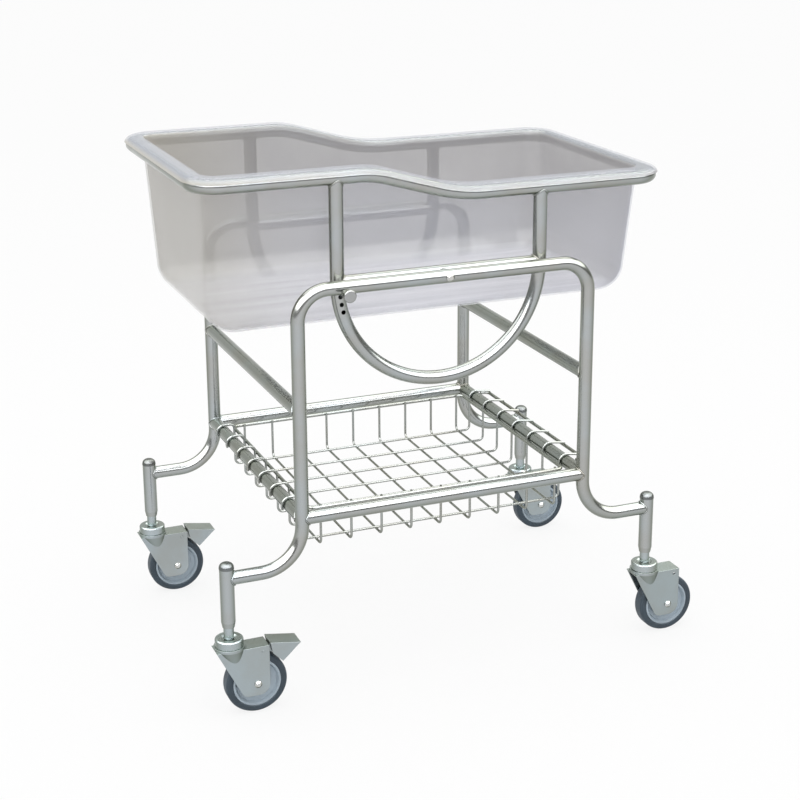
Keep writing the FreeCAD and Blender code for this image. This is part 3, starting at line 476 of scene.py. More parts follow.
@made_once
def cloudy_tint():
    """Slow drift between two colours over the surface, with faint speckle."""
    tree, wiring, start, end = start_group(
        "Cloudy tint",
        "ShaderNodeTree",
        [
            ("First", COLOUR, (0.5, 0.5, 0.5, 1)),
            ("Second", COLOUR, (0.4, 0.4, 0.4, 1)),
            ("Scale", NUMBER, 12.0),
            ("Speckle", NUMBER, 0.15),
        ],
        [("Colour", COLOUR)],
    )
    place = wiring.add("ShaderNodeTexCoord").outputs["Object"]
    drift = wiring.remap(wiring.noise(start.outputs["Scale"], 4.0, Vector=place), 0.35, 0.65)
    centred = wiring.maths("SUBTRACT", wiring.noise(SPECKLE_SCALE, 2.0, Vector=place), 0.5)
    mask = wiring.maths("ADD", drift, wiring.maths("MULTIPLY", centred, start.outputs["Speckle"]))
    share = wiring.remap(mask, 0.0, 1.0)
    colour = wiring.blend(share, start.outputs["First"], start.outputs["Second"])
    wiring.feed(colour, end.inputs["Colour"])
    return tree


@made_once
def lengthwise_streaks():
    """Long faint lines along the sheet's length."""
    tree, wiring, start, end = start_group(
        "Lengthwise streaks", "ShaderNodeTree", [("Spacing", NUMBER, 26.0)], [("Mask", NUMBER)]
    )
    place = wiring.add("ShaderNodeTexCoord").outputs["Object"]
    drawn = wiring.add("ShaderNodeMapping", {"Vector": place, "Scale": (0.05, 1.0, 1.0)})
    spacing = start.outputs["Spacing"]
    lines = wiring.noise(spacing, 5.0, Vector=drawn.outputs["Vector"], Roughness=0.62)
    wiring.feed(wiring.remap(lines, 0.42, 0.68), end.inputs["Mask"])
    return tree


def new_finish(name):
    """Material with an empty tree; gives its wiring, its surface shader and its output."""
    finish = bpy.data.materials.new(name)
    finish.use_nodes = True
    finish.node_tree.nodes.clear()
    wiring = Wiring(finish.node_tree)
    shader = wiring.add("ShaderNodeBsdfPrincipled")
    output = wiring.add("ShaderNodeOutputMaterial", {"Surface": shader.outputs["BSDF"]})
    return finish, wiring, shader, output


def use_group(wiring, tree, values):
    node = wiring.add("ShaderNodeGroup", node_tree=tree)
    for name, source in values.items():
        wiring.feed(source, node.inputs[name])
    return node.outputs


def shade(colour, factor, warm=0.0):
    """Colour made lighter or darker, and warmer where asked."""
    return (colour[0] * (factor + warm), colour[1] * factor, colour[2] * (factor - warm), 1)


def scaled(colour, factor):
    return tuple(factor * part for part in colour)


@made_once
def painted_edge_shade():
    """Painted shade: darkens and warms a colour where the surface turns away, from a facing
    value, in place of the darker, warmer reflections at a tube's sides.
    """
    tree, wiring, start, end = start_group(
        "Painted edge shade",
        "ShaderNodeTree",
        [
            ("Colour", COLOUR, (0.5, 0.5, 0.5, 1)),
            ("Facing", NUMBER, 0.0),
            ("Shade", COLOUR, (0.5, 0.5, 0.42, 1)),
            ("Reach", NUMBER, 0.5),
        ],
        [("Colour", COLOUR)],
    )
    share = wiring.remap(start.outputs["Facing"], 0.0, start.outputs["Reach"])
    tint = wiring.blend(share, (1, 1, 1, 1), start.outputs["Shade"])
    shaded = wiring.blend(1.0, start.outputs["Colour"], tint, "MULTIPLY")
    wiring.feed(shaded, end.inputs["Colour"])
    return tree


def metal_finish(name, colour, roughness, grain, depth, drift, edge=0.0, warm=0.04):
    """Bare or plated metal: tint drift, polish marks, softly caught edges, and painted shade that
    darkens and warms the sides.
    """
    finish, wiring, shader, _ = new_finish(name)
    surface = shader.inputs
    first, second = shade(colour, 1 + drift, -warm / 2), shade(colour, 1 - drift, warm)
    values = {"First": first, "Second": second, "Scale": 14.0, "Speckle": 0.5}
    tint = use_group(wiring, cloudy_tint(), values)["Colour"]
    marks = use_group(wiring, fine_grain(), {"Scale": grain, "Depth": depth})
    # painted shade: the base colour darkens and warms towards the sides that turn away
    facing = wiring.add("ShaderNodeLayerWeight", {"Blend": 0.5}).outputs["Facing"]
    values = {"Colour": tint, "Facing": facing, "Shade": METAL_PAINTED_SHADE, "Reach": 0.5}
    wiring.feed(use_group(wiring, painted_edge_shade(), values)["Colour"], surface["Base Color"])
    wiring.feed(wiring.remap(marks["Mask"], *MARK_RANGE, *roughness), surface["Roughness"])
    surface["Metallic"].default_value = 1
    normal = marks["Normal"]
    if edge:
        bevel = wiring.add("ShaderNodeBevel", {"Radius": edge, "Normal": normal}, samples=6)
        normal = bevel.outputs["Normal"]
    wiring.feed(normal, surface["Normal"])
    return finish


def moulded_finish(name, colour, roughness, grain, depth, drift):
    """Moulded plastic or rubber: slight unevenness in colour, gloss and surface."""
    finish, wiring, shader, _ = new_finish(name)
    surface = shader.inputs
    first, second = shade(colour, 1 + drift), shade(colour, 1 - drift)
    values = {"First": first, "Second": second, "Scale": 30.0, "Speckle": 0.8}
    marks = use_group(wiring, fine_grain(), {"Scale": grain, "Depth": depth})
    wiring.feed(use_group(wiring, cloudy_tint(), values)["Colour"], surface["Base Color"])
    wiring.feed(wiring.remap(marks["Mask"], *MARK_RANGE, *roughness), surface["Roughness"])
    wiring.feed(marks["Normal"], surface["Normal"])
    return finish


def clear_finish(name, colour, haze, skin_haze):
    """Thin clear plastic, milky on its inner face, with lighter lengthwise streaks on its floor
    and a glossy skin.
    """
    finish, wiring, shader, _ = new_finish(name)
    surface = shader.inputs
    place = wiring.add("ShaderNodeTexCoord").outputs["Object"]
    axes = wiring.add("ShaderNodeSeparateXYZ", {"Vector": place}).outputs
    geometry = wiring.add("ShaderNodeNewGeometry").outputs
    normal = wiring.add("ShaderNodeSeparateXYZ", {"Vector": geometry["Normal"]}).outputs
    marks = use_group(wiring, fine_grain(), {"Scale": 160.0, "Depth": 0.03})

    # where the sheet is floor, flange, milky inner face or the warmer, lighter head end
    floor = wiring.remap(axes["Z"], *FLOOR_FADE, 1.0, 0.0)
    streaks = use_group(wiring, lengthwise_streaks(), {"Spacing": 30.0})["Mask"]
    # the floor gets faint lighter streaks along its length
    floor_streaks = wiring.maths("MULTIPLY", streaks, floor)
    level = wiring.remap(wiring.maths("ABSOLUTE", normal["Z"]), 0.45, 0.85)
    flange = wiring.maths("MULTIPLY", level, wiring.remap(axes["Z"], *FLANGE_FADE))
    inner = wiring.add("ShaderNodeAttribute", attribute_name="inner").outputs["Fac"]
    front = wiring.maths("SUBTRACT", 1.0, geometry["Backfacing"])
    milky = wiring.maths("MULTIPLY", inner, front)
    # towards the head end the sheet turns warmer and lighter, and holds back a little more light
    head_warmth = wiring.remap(axes["X"], *HEAD_WARM_FADE, 0.9, 0.0)

    first, second = shade(colour, 1.06), shade(colour, 0.94)
    values = {"First": first, "Second": second, "Scale": 7.0, "Speckle": 0.3}
    tint = use_group(wiring, cloudy_tint(), values)["Colour"]
    head_warm_colour = (*(part * change for part, change in zip(colour, HEAD_WARM_TINT)), 1)
    body = wiring.blend(milky, SKIN_COLOUR, tint)
    for share, over in (
        (head_warmth, head_warm_colour),
        (wiring.maths("MULTIPLY", floor, 0.75), FLOOR_COLOUR),
        (floor_streaks, STREAK_COLOUR),
        (flange, FLANGE_COLOUR),
    ):
        body = wiring.blend(share, body, over)
    wiring.feed(body, surface["Base Color"])
    wiring.feed(wiring.remap(marks["Mask"], *MARK_RANGE, 0.1, 0.2), surface["Roughness"])
    wiring.feed(marks["Normal"], surface["Normal"])
    surface["IOR"].default_value = 1.49

    walls = wiring.maths("MULTIPLY", milky, wiring.maths("SUBTRACT", 1.0, flange))
    held = wiring.remap(walls, 0.0, 1.0, skin_haze, haze)
    facing = wiring.add("ShaderNodeLayerWeight", {"Blend": 0.35}).outputs["Facing"]
    for extra in (
        wiring.maths("MULTIPLY", head_warmth, 0.13),
        wiring.maths("MULTIPLY", flange, 0.08),
        wiring.remap(facing, 0.3, 1.0, 0.0, 0.35),
        wiring.maths("MULTIPLY", floor_streaks, 0.2),
    ):
        held = wiring.maths("ADD", held, extra)
    wiring.feed(wiring.maths("MINIMUM", held, 1.0), surface["Alpha"])
    return finish


def dress(names, finish):
    """Give CAD nodes a finish."""
    for name in names:
        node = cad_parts[name]
        if not node.material_slots:
            raise RuntimeError(f"{name} has no material slot")
        for slot in node.material_slots:
            slot.material = finish


# ---------------------------------------------------------------- weld beads


def saddle(centre, along, across, host, overrun=0.4 * MM):
    """Closed line where a tube that runs along one way meets a host tube of a given radius."""
    along, side = Vector(along), Vector(across)
    third = along.cross(side)
    reach = TUBE + 0.5 * overrun
    points = []
    for step in range(SADDLE_STEPS):
        turn = 2 * math.pi * step / SADDLE_STEPS
        wide = TUBE * math.cos(turn)
        depth = math.sqrt(max(host * host - wide * wide, 0) + (0.25 * host) ** 2) + overrun
        round_tube = side * math.cos(turn) + third * math.sin(turn)
        points.append(Vector(centre) + along * depth + round_tube * reach)
    return points


def rounded(corners, closed=False, steps=8):
    """Points of straight runs and tangent arcs through corners, each a point and a radius."""
    points = []
    count = len(corners)
    for number, (point, radius) in enumerate(corners):
        if not radius:
            points.append(point)
            continue
        back = (corners[number - 1][0] - point).normalized()
        ahead = (corners[(number + 1) % count][0] - point).normalized()
        half = back.angle(ahead) / 2
        centre = point + (back + ahead).normalized() * (radius / math.sin(half))
        first = point + back * (radius / math.tan(half)) - centre
        last = point + ahead * (radius / math.tan(half)) - centre
        sweep = first.angle(last)
        for step in range(steps + 1):
            turn = sweep * step / steps
            share = first * math.sin(sweep - turn) + last * math.sin(turn)
            points.append(centre + share / math.sin(sweep))
    return points


def lines_object(name, lines, closed=True):
    """Mesh of lines, the paths that beads, tubes and wires follow."""
    mesh = bpy.data.meshes.new(name)
    points, edges = [], []
    for line in lines:
        first = len(points)
        points += [tuple(point) for point in line]
        count = len(line)
        last = count if closed else count - 1
        edges += [(first + number, first + (number + 1) % count) for number in range(last)]
    mesh.from_pydata(points, edges, [])
    holder = bpy.data.objects.new(name, mesh)
    bpy.context.scene.collection.objects.link(holder)
    return holder


def end_in_finish(wiring, start, end, mesh):
    """Smooth a tree's mesh, realize its instances and give it its finish."""
    smooth = wiring.add("GeometryNodeSetShadeSmooth", {"Geometry": mesh})
    whole = wiring.add("GeometryNodeRealizeInstances", {"Geometry": smooth.outputs["Geometry"]})
    coated = wiring.add(
        "GeometryNodeSetMaterial",
        {"Geometry": whole.outputs["Geometry"], "Material": start.outputs["Finish"]},
    )
    wiring.feed(coated.outputs["Geometry"], end.inputs[0])


@made_once
def bead_tree():
    """Geometry tree that runs a rippled bead along closed lines."""
    tree, wiring, start, end = start_group(
        "Weld bead",
        "GeometryNodeTree",
        [
            ("Lines", SHAPE, None),
            ("Radius", NUMBER, 0.0016),
            ("Ripple", NUMBER, 0.15),
            ("Steps", WHOLE, 96),
            ("Finish", FINISH, None),
        ],
        [("Bead", SHAPE)],
    )
    curve = wiring.add("GeometryNodeMeshToCurve", {"Mesh": start.outputs["Lines"]})
    even = wiring.add(
        "GeometryNodeResampleCurve",
        {"Curve": curve.outputs["Curve"], "Count": start.outputs["Steps"]},
    )
    index = wiring.add("GeometryNodeInputIndex").outputs["Index"]
    wave = wiring.maths("SINE", wiring.maths("MULTIPLY", index, 1.7))
    uneven = wiring.maths("SUBTRACT", wiring.noise(160.0, 2.0), 0.5)
    swing = wiring.maths("ADD", wave, wiring.maths("MULTIPLY", uneven, 2.5))
    share = wiring.maths("ADD", wiring.maths("MULTIPLY", swing, start.outputs["Ripple"]), 1.0)
    thick = wiring.maths("MULTIPLY", share, start.outputs["Radius"])
    curve = {"Curve": even.outputs["Curve"], "Radius": thick}
    sized = wiring.add("GeometryNodeSetCurveRadius", curve)
    profile = wiring.add("GeometryNodeCurvePrimitiveCircle", {"Resolution": 10, "Radius": 1.0})
    bead = wiring.add(
        "GeometryNodeCurveToMesh",
        {
            "Curve": sized.outputs["Curve"],
            "Profile Curve": profile.outputs["Curve"],
            "Scale": wiring.add("GeometryNodeInputRadius").outputs["Radius"],
        },
    )
    end_in_finish(wiring, start, end, bead.outputs["Mesh"])
    return tree


@made_once
def tube_tree():
    """Geometry tree that sweeps a round section along lines."""
    tree, wiring, start, end = start_group(
        "Bent tube",
        "GeometryNodeTree",
        [
            ("Lines", SHAPE, None),
            ("Radius", NUMBER, 0.002),
            ("Sides", WHOLE, 12),
            ("Finish", FINISH, None),
        ],
        [("Tube", SHAPE)],
    )
    curve = wiring.add("GeometryNodeMeshToCurve", {"Mesh": start.outputs["Lines"]})
    profile = wiring.add(
        "GeometryNodeCurvePrimitiveCircle",
        {"Resolution": start.outputs["Sides"], "Radius": start.outputs["Radius"]},
    )
    swept = wiring.add(
        "GeometryNodeCurveToMesh",
        {
            "Curve": curve.outputs["Curve"],
            "Profile Curve": profile.outputs["Curve"],
            "Fill Caps": True,
        },
    )
    end_in_finish(wiring, start, end, swept.outputs["Mesh"])
    return tree


@made_once
def spot_tree():
    """Geometry tree that puts a fused spot on every point."""
    tree, wiring, start, end = start_group(
        "Fused spots",
        "GeometryNodeTree",
        [
            ("Points", SHAPE, None),
            ("Radius", NUMBER, 0.0025),
            ("Seed", WHOLE, 3),
            ("Finish", FINISH, None),
        ],
        [("Spots", SHAPE)],
    )
    ball = wiring.add("GeometryNodeMeshIcoSphere", {"Radius": 1.0, "Subdivisions": 2})
    tall = wiring.add(
        "GeometryNodeTransform", {"Geometry": ball.outputs["Mesh"], "Scale": (1.0, 1.0, 1.35)}
    )
    seed = {"Seed": start.outputs["Seed"]}
    vary = wiring.add("FunctionNodeRandomValue", seed, data_type="FLOAT")
    by_identifier(vary.inputs, "Min_001").default_value = 0.85
    by_identifier(vary.inputs, "Max_001").default_value = 1.15
    share = by_identifier(vary.outputs, "Value_001")
    size = wiring.maths("MULTIPLY", share, start.outputs["Radius"])
    spots = wiring.add(
        "GeometryNodeInstanceOnPoints",
        {"Points": start.outputs["Points"], "Instance": tall.outputs["Geometry"], "Scale": size},
    )
    end_in_finish(wiring, start, end, spots.outputs["Instances"])
    return tree


def grow(holder, tree, values):
    """Run a geometry tree on an object and keep its result as a plain mesh."""
    modifier = holder.modifiers.new("Grow", "NODES")
    modifier.node_group = tree
    for item in tree.interface.items_tree:
        if item.in_out == "INPUT" and item.name in values:
            modifier[item.identifier] = values[item.name]
    bpy.context.view_layer.update()
    shaped = holder.evaluated_get(bpy.context.evaluated_depsgraph_get())
    mesh = bpy.data.meshes.new_from_object(shaped)
    mesh.name = holder.name
    name = holder.name
    bpy.data.objects.remove(holder)
    piece = bpy.data.objects.new(name, mesh)
    bpy.context.scene.collection.objects.link(piece)
    if not mesh.polygons:
        raise RuntimeError(f"{name} came out empty")
    outward(mesh)
    return piece


def outward(mesh):
    """Turn every face outwards and keep hard edges crisp."""
    shell = bmesh.new()
    shell.from_mesh(mesh)
    bmesh.ops.remove_doubles(shell, verts=shell.verts, dist=1e-7)
    bmesh.ops.recalc_face_normals(shell, faces=shell.faces)
    for face in shell.faces:
        face.smooth = True
    for edge in shell.edges:
        edge.smooth = edge.calc_face_angle(0) < math.radians(40)
    shell.to_mesh(mesh)
    shell.free()


def put_on(piece, body):
    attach(piece, body)


def cart_weld_lines():
    """Beads on the cart: cross tubes and shelf rails to legs, feet to posts."""
    loops = []
    for end in (-1, 1):
        for side in (-1, 1):
            leg = (MIDDLE + end * LEG, side * SIDE)
            inward, along = (0, -side, 0), (-end, 0, 0)
            post = (MIDDLE + end * POST_PLACE, side * SIDE, FOOT_HEIGHT)
            loops += [
                saddle((*leg, CROSS_TUBE), inward, (1, 0, 0), TUBE),
                saddle((*leg, SIDE_RAIL), inward, (1, 0, 0), TUBE),
                saddle((*leg, SIDE_RAIL), along, (0, 1, 0), TUBE),
                saddle(post, along, (0, 1, 0), POST),
            ]
    return loops


def cradle_weld_lines():
    """Beads on the cradle: yoke posts to the rim tube, bars to the yokes."""
    loops = []
    for side in (-1, 1):
        for end, height in ((-1, RIM_HEAD), (1, RIM_FOOT)):
            post = (MIDDLE + end * YOKE, side * CRADLE)
            loops += [
                saddle((*post, height), (0, 0, -1), (0, 1, 0), TUBE, 0.6 * MM),
                saddle((*post, TOP_BAR), (-end, 0, 0), (0, 1, 0), TUBE),
            ]
    return loops


# ---------------------------------------------------------------- wire basket

BASKET_FLOOR = SHELF - 62 * MM
BASKET_RIM = SHELF - 1 * MM
BASKET_HEAD = -226 * MM
BASKET_FOOT = 231.7 * MM
BASKET_SIDE = 207 * MM
BASKET_WALL = {"head": 25 * MM, "foot": 18 * MM}  # from a wall to the nearest cross wire
ROW_REACH = 181.5 * MM
HOOK_DROP = 6 * MM
TIE_ROD = 274 * MM
TIE_ROD_REACH = 190.5 * MM
TIE_ROD_BEND = 9 * MM
RIM_WIRE_BEND = 12 * MM
TIE_ROD_HEIGHT = SHELF + 4 * MM


def row_places(rows):
    """Where the long wires lie across the basket."""
    return [ROW_REACH * (2 * row / (rows - 1) - 1) for row in range(rows)]


def column_places(columns):
    """Where the cross wires lie along the basket."""
    first = MIDDLE + BASKET_HEAD + BASKET_WALL["head"]
    last = MIDDLE + BASKET_FOOT - BASKET_WALL["foot"]
    return [first + (last - first) * column / (columns - 1) for column in range(columns)]


def rim_wire_line(settings):
    """Rounded rectangle of the rim wire, inside the shelf's rails."""
    inset = (settings.wire + settings.rim) / 2 + TOUCH
    head, foot = MIDDLE + BASKET_HEAD + inset, MIDDLE + BASKET_FOOT - inset
    side = BASKET_SIDE
    places = [(head, -side), (foot, -side), (foot, side), (head, side)]
    corners = [(Vector((x, y, BASKET_RIM)), RIM_WIRE_BEND) for x, y in places]
    return rounded(corners, closed=True)


def tie_rod_line(settings):
    """Tie rod outside the foot rail, its ends turned in to the rail."""
    start = MIDDLE + LEG + TUBE + settings.rim / 2
    place = MIDDLE + TIE_ROD
    side, bend = TIE_ROD_REACH, TIE_ROD_BEND
    corners = [(start, -side, 0), (place, -side, bend), (place, side, bend), (start, side, 0)]
    return rounded([(Vector((x, y, TIE_ROD_HEIGHT)), turn) for x, y, turn in corners])


def arc_points(centre, radius, first, last, steps=10):
    """Points of an arc that stands upright along the basket, from one angle to another."""
    turns = [first + (last - first) * step / steps for step in range(steps + 1)]
    return [centre + Vector((math.cos(turn), 0, math.sin(turn))) * radius for turn in turns]


def long_wire_line(settings, row):
    """One floor wire along the basket, hooked over the head rail and the foot rail."""
    radius = TUBE + settings.wire / 2 + GAP
    head = Vector((MIDDLE - LEG, row, SHELF))
    foot = Vector((MIDDLE + LEG, row, SHELF))
    tip = math.pi + math.asin(HOOK_DROP / radius)
    hook = arc_points(head, radius, tip, math.pi / 2)
    corners = [
        (head + Vector((0, 0, radius)), 0),
        (Vector((MIDDLE + BASKET_HEAD, row, SHELF + radius)), settings.bend),
        (Vector((MIDDLE + BASKET_HEAD, row, BASKET_FLOOR)), settings.bend),
        (Vector((foot.x - radius, row, BASKET_FLOOR)), settings.bend),
        (Vector((foot.x - radius, row, SHELF)), 0),
    ]
    above_rod = TIE_ROD_HEIGHT + 1.05 * (settings.wire + settings.rim) / 2
    tail = Vector((MIDDLE + TIE_ROD, row, above_rod))
    away = tail - foot
    leave = math.atan2(away.z, away.x) + math.acos(radius / away.length)
    over_rail = arc_points(foot, radius, math.pi, leave)
    return hook[:-1] + rounded(corners) + over_rail[1:] + [tail]


def cross_wire_line(settings, column):
    """One floor wire across the basket, turned up inside the rim wire at both ends."""
    side = BASKET_SIDE - (settings.wire + settings.rim) / 2 - TOUCH
    low, top = BASKET_FLOOR - settings.wire - TOUCH, BASKET_RIM + 3 * MM
    bend = settings.bend
    corners = [(-side, top, 0), (-side, low, bend), (side, low, bend), (side, top, 0)]
    return rounded([(Vector((column, y, z)), turn) for y, z, turn in corners])


# ---------------------------------------------------------------- tub and rim

RIM_SIDE = CRADLE
STEP_HEAD = -112 * MM
STEP_HEAD_BEND = 150 * MM
STEP_FOOT = 32 * MM
STEP_FOOT_BEND = 300 * MM
FLANGE_LIP = math.radians(20)
FLANGE_FOLD = 4 * MM
RIM_ROOM = TUBE + 5.5 * MM  # from the rim's centre line in to the wall
TAPER_LENGTH = 8.5 * MM
TAPER_WIDTH = 17 * MM
FLOOR_CORNER = 52 * MM
FLOOR_RINGS = (70 * MM, 100 * MM, 135 * MM)
FLANGE_STEPS = 6
WALL_STEPS = 6
FOLD_STEPS = 10
CORNER_STEPS = 8
LONG_STEPS = 56
SHORT_STEPS = 12


def rim_line(settings):
    """Centre line of the stepped rim, from above a rounded rectangle."""
    end = settings.length / 2
    near = [
        (-end, -1, RIM_HEAD, settings.corner),
        (STEP_HEAD, -1, RIM_HEAD, STEP_HEAD_BEND),
        (STEP_FOOT, -1, RIM_FOOT, STEP_FOOT_BEND),
        (end, -1, RIM_FOOT, settings.corner),
    ]
    places = near + [(x, 1, z, bend) for x, _, z, bend in reversed(near)]
    return rounded(
        [(Vector((MIDDLE + x, side * RIM_SIDE, z)), bend) for x, side, z, bend in places]
    )


def rim_height(place):
    """Height of the rim's centre line at a distance from the middle along the bassinet."""
    far = 1.0
    line = rounded(
        [
            (Vector((-far, 0, RIM_HEAD)), 0),
            (Vector((STEP_HEAD, 0, RIM_HEAD)), STEP_HEAD_BEND),
            (Vector((STEP_FOOT, 0, RIM_FOOT)), STEP_FOOT_BEND),
            (Vector((far, 0, RIM_FOOT)), 0),
        ]
    )
    for before, after in zip(line, line[1:]):
        if place <= after.x:
            share = (place - before.x) / (after.x - before.x)
            return before.z + (after.z - before.z) * share
    return RIM_FOOT


def corner_point(corner, turn, length, width, radius):
    """Point on one corner of a rounded rectangle."""
    middle = math.pi * (1.25 + 0.5 * corner)
    x = math.copysign(length - radius, math.cos(middle)) + radius * math.cos(turn)
    y = math.copysign(width - radius, math.sin(middle)) + radius * math.sin(turn)
    return Vector((x, y))


def stations():
    """Places round a rounded rectangle: a corner, a turn, the next corner and the share to it."""
    found = []
    for corner in range(4):
        start = math.pi * (1 + 0.5 * corner)
        turns = [start + 0.5 * math.pi * step / CORNER_STEPS for step in range(CORNER_STEPS + 1)]
        found += [(corner, turn, corner, 0) for turn in turns]
        runs = SHORT_STEPS if corner % 2 else LONG_STEPS
        found += [(corner, turns[-1], (corner + 1) % 4, step / runs) for step in range(1, runs)]
    return found


def plan_point(station, length, width, radius):
    corner, turn, following, share = station
    here = corner_point(corner, turn, length, width, radius)
    if not share:
        return here
    return here.lerp(corner_point(following, turn, length, width, radius), share)


def wall_plan(settings, height, inset):
    """Half length, half width and corner radius of the tub's wall at a height."""
    share = (height - TUB_FLOOR) / (RIM_HEAD - TUB_FLOOR)
    top = (settings.length / 2 - RIM_ROOM, RIM_SIDE - RIM_ROOM, settings.corner - RIM_ROOM)
    low = (top[0] - TAPER_LENGTH, top[1] - TAPER_WIDTH, FLOOR_CORNER)
    return [a + (b - a) * share - inset for a, b in zip(low, top)]


def grown(plan, out, height):
    length, width, corner = plan
    return (length + out, width + out, max(corner + out, 1.5 * MM), height)


def skin(settings, height, inset, around, fold):
    """Section of one face of the tub's sheet, from the flange's lip in to the floor's middle."""
    rim = (settings.length / 2, RIM_SIDE, settings.corner)
    rows = []
    for step in range(FLANGE_STEPS + 1):
        turn = FLANGE_LIP + (math.pi / 2 - FLANGE_LIP) * step / FLANGE_STEPS
        rows.append(grown(rim, around * math.cos(turn), height + around * math.sin(turn)))
    foot = height + TUBE + GAP - FLANGE_FOLD
    plan = wall_plan(settings, foot, inset)
    for step in range(FLANGE_STEPS + 1):
        turn = math.pi / 2 * step / FLANGE_STEPS
        rows.append(grown(plan, fold * (1 - math.sin(turn)), foot + fold * math.cos(turn)))
    base = TUB_FLOOR + settings.fold
    for step in range(1, WALL_STEPS + 1):
        level = foot + (base - foot) * step / WALL_STEPS
        rows.append(grown(wall_plan(settings, level, inset), 0, level))
    plan = wall_plan(settings, base, inset)
    bend = settings.fold - inset
    for step in range(1, FOLD_STEPS + 1):
        turn = math.pi / 2 * step / FOLD_STEPS
        rows.append(grown(plan, -bend * (1 - math.cos(turn)), base - bend * math.sin(turn)))
    return rows + [grown(plan, -reach, base - bend) for reach in FLOOR_RINGS]


def tub_mesh(settings):
    """Closed sheet of the tub: inner face and outer face, joined at the flange's lip."""
    under, wall = TUBE + GAP, settings.wall
    places = stations()
    rim = (settings.length / 2, RIM_SIDE, settings.corner)
    points = []
    for station in places:
        height = rim_height(plan_point(station, *rim).x)
        inner = skin(settings, height, wall, under + wall, FLANGE_FOLD + wall)
        outer = skin(settings, height, 0, under, FLANGE_FOLD)
        for length, width, corner, level in inner[::-1] + outer:
            point = plan_point(station, length, width, corner)
            points.append((MIDDLE + point.x, point.y, level))
    rows, count = len(inner) + len(outer), len(places)
    faces = []
    for number in range(count):
        here, there = number * rows, (number + 1) % count * rows
        faces += [
            (here + row, there + row, there + row + 1, here + row + 1) for row in range(rows - 1)
        ]
    for row in (0, rows - 1):
        faces.append([number * rows + row for number in range(count)])
    mesh = bpy.data.meshes.new("tub_sheet")
    mesh.from_pydata(points, [], faces)
    side = mesh.attributes.new("inner", "FLOAT", "POINT")
    side.data.foreach_set("value", ([1.0] * len(inner) + [0.0] * len(outer)) * count)
    outward(mesh)
    return mesh


# ---------------------------------------------------------------- operators


def tube_finish(context, name):
    """Satin steel of the cart's and the cradle's tubes."""
    colour = tuple(context.scene.bassinet_finishes.tube)
    return metal_finish(name, colour, roughness=(0.13, 0.22), grain=900.0, depth=0.08, drift=0.05)


class BASSINET_OT_tubes(bpy.types.Operator):
    """Satin steel on every tube, domed caps a shade darker"""

    bl_idname = "bassinet.tubes"
    bl_label = "Finish the tubes"

    def execute(self, context):
        dress(TUBE_NODES, tube_finish(context, "Satin steel tube"))
        cap = metal_finish(
            "Post cap",
            scaled(context.scene.bassinet_finishes.tube, 0.45),
            roughness=(0.24, 0.36),
            grain=700.0,
            depth=0.12,
            drift=0.08,
            edge=0.6 * MM,
        )
        dress(("post_caps",), cap)
        return {"FINISHED"}


class BASSINET_OT_basket(bpy.types.Operator):
    """Bent wire basket hooked over the shelf's end rails, with fused spots where wires cross"""

    bl_idname = "bassinet.basket"
    bl_label = "Bend the basket"

    def execute(self, context):
        settings = context.scene.bassinet_basket
        finish = metal_finish(
            "Plated wire",
            tuple(context.scene.bassinet_finishes.wire),
            roughness=(0.2, 0.3),
            grain=1200.0,
            depth=0.06,
            drift=0.08,
        )
        rows, columns = row_places(settings.rows), column_places(settings.columns)
        long_wires = [long_wire_line(settings, row) for row in rows]
        cross_wires = [cross_wire_line(settings, column) for column in columns]
        thick, thin = settings.rim / 2, settings.wire / 2
        for name, node, radius, closed, lines in (
            ("basket_rim", "basket_rim_wire", thick, True, [rim_wire_line(settings)]),
            ("basket_tie_rod", None, thick, False, [tie_rod_line(settings)]),
            ("basket_rows", "basket_long_wires", thin, False, long_wires),
            ("basket_columns", "basket_cross_wires", thin, False, cross_wires),
        ):
            values = {"Radius": radius, "Sides": 14, "Finish": finish}
            wires = grow(lines_object(name, lines, closed), tube_tree(), values)
            put_on(wires, "basket")
            if node:
                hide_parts(node)
        crossings = [[(x, y, BASKET_FLOOR - thin)] for x in columns for y in rows]
        values = {"Radius": context.scene.bassinet_welds.spot, "Seed": 3, "Finish": finish}
        spots = grow(lines_object("basket_spots", crossings, closed=False), spot_tree(), values)
        put_on(spots, "basket")
        return {"FINISHED"}


class BASSINET_OT_rim(bpy.types.Operator):
    """Stepped rim tube of the cradle"""

    bl_idname = "bassinet.rim"
    bl_label = "Bend the rim"

    def execute(self, context):
        lines = lines_object("rim_bend", [rim_line(context.scene.bassinet_tub)])
        values = {"Radius": TUBE, "Sides": 40, "Finish": tube_finish(context, "Rim tube")}
        rim = grow(lines, tube_tree(), values)
        put_on(rim, "cradle")
        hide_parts("rim_tube")
        return {"FINISHED"}


class BASSINET_OT_welds(bpy.types.Operator):
    """Rippled weld beads where the tubes meet"""

    bl_idname = "bassinet.welds"
    bl_label = "Add the weld beads"

    def execute(self, context):
        settings = context.scene.bassinet_welds
        finish = metal_finish(
            "Weld bead",
            scaled(context.scene.bassinet_finishes.tube, 0.86),
            roughness=(0.26, 0.4),
            grain=600.0,
            depth=0.2,
            drift=0.12,
            warm=0.08,
        )
        values = {
            "Radius": settings.bead,
            "Ripple": settings.ripple,
            "Steps": settings.steps,
            "Finish": finish,
        }
        for name, body, loops in (
            ("cart_welds", "cart", cart_weld_lines()),
            ("cradle_welds", "cradle", cradle_weld_lines()),
        ):
            put_on(grow(lines_object(name, loops), bead_tree(), values), body)
        return {"FINISHED"}


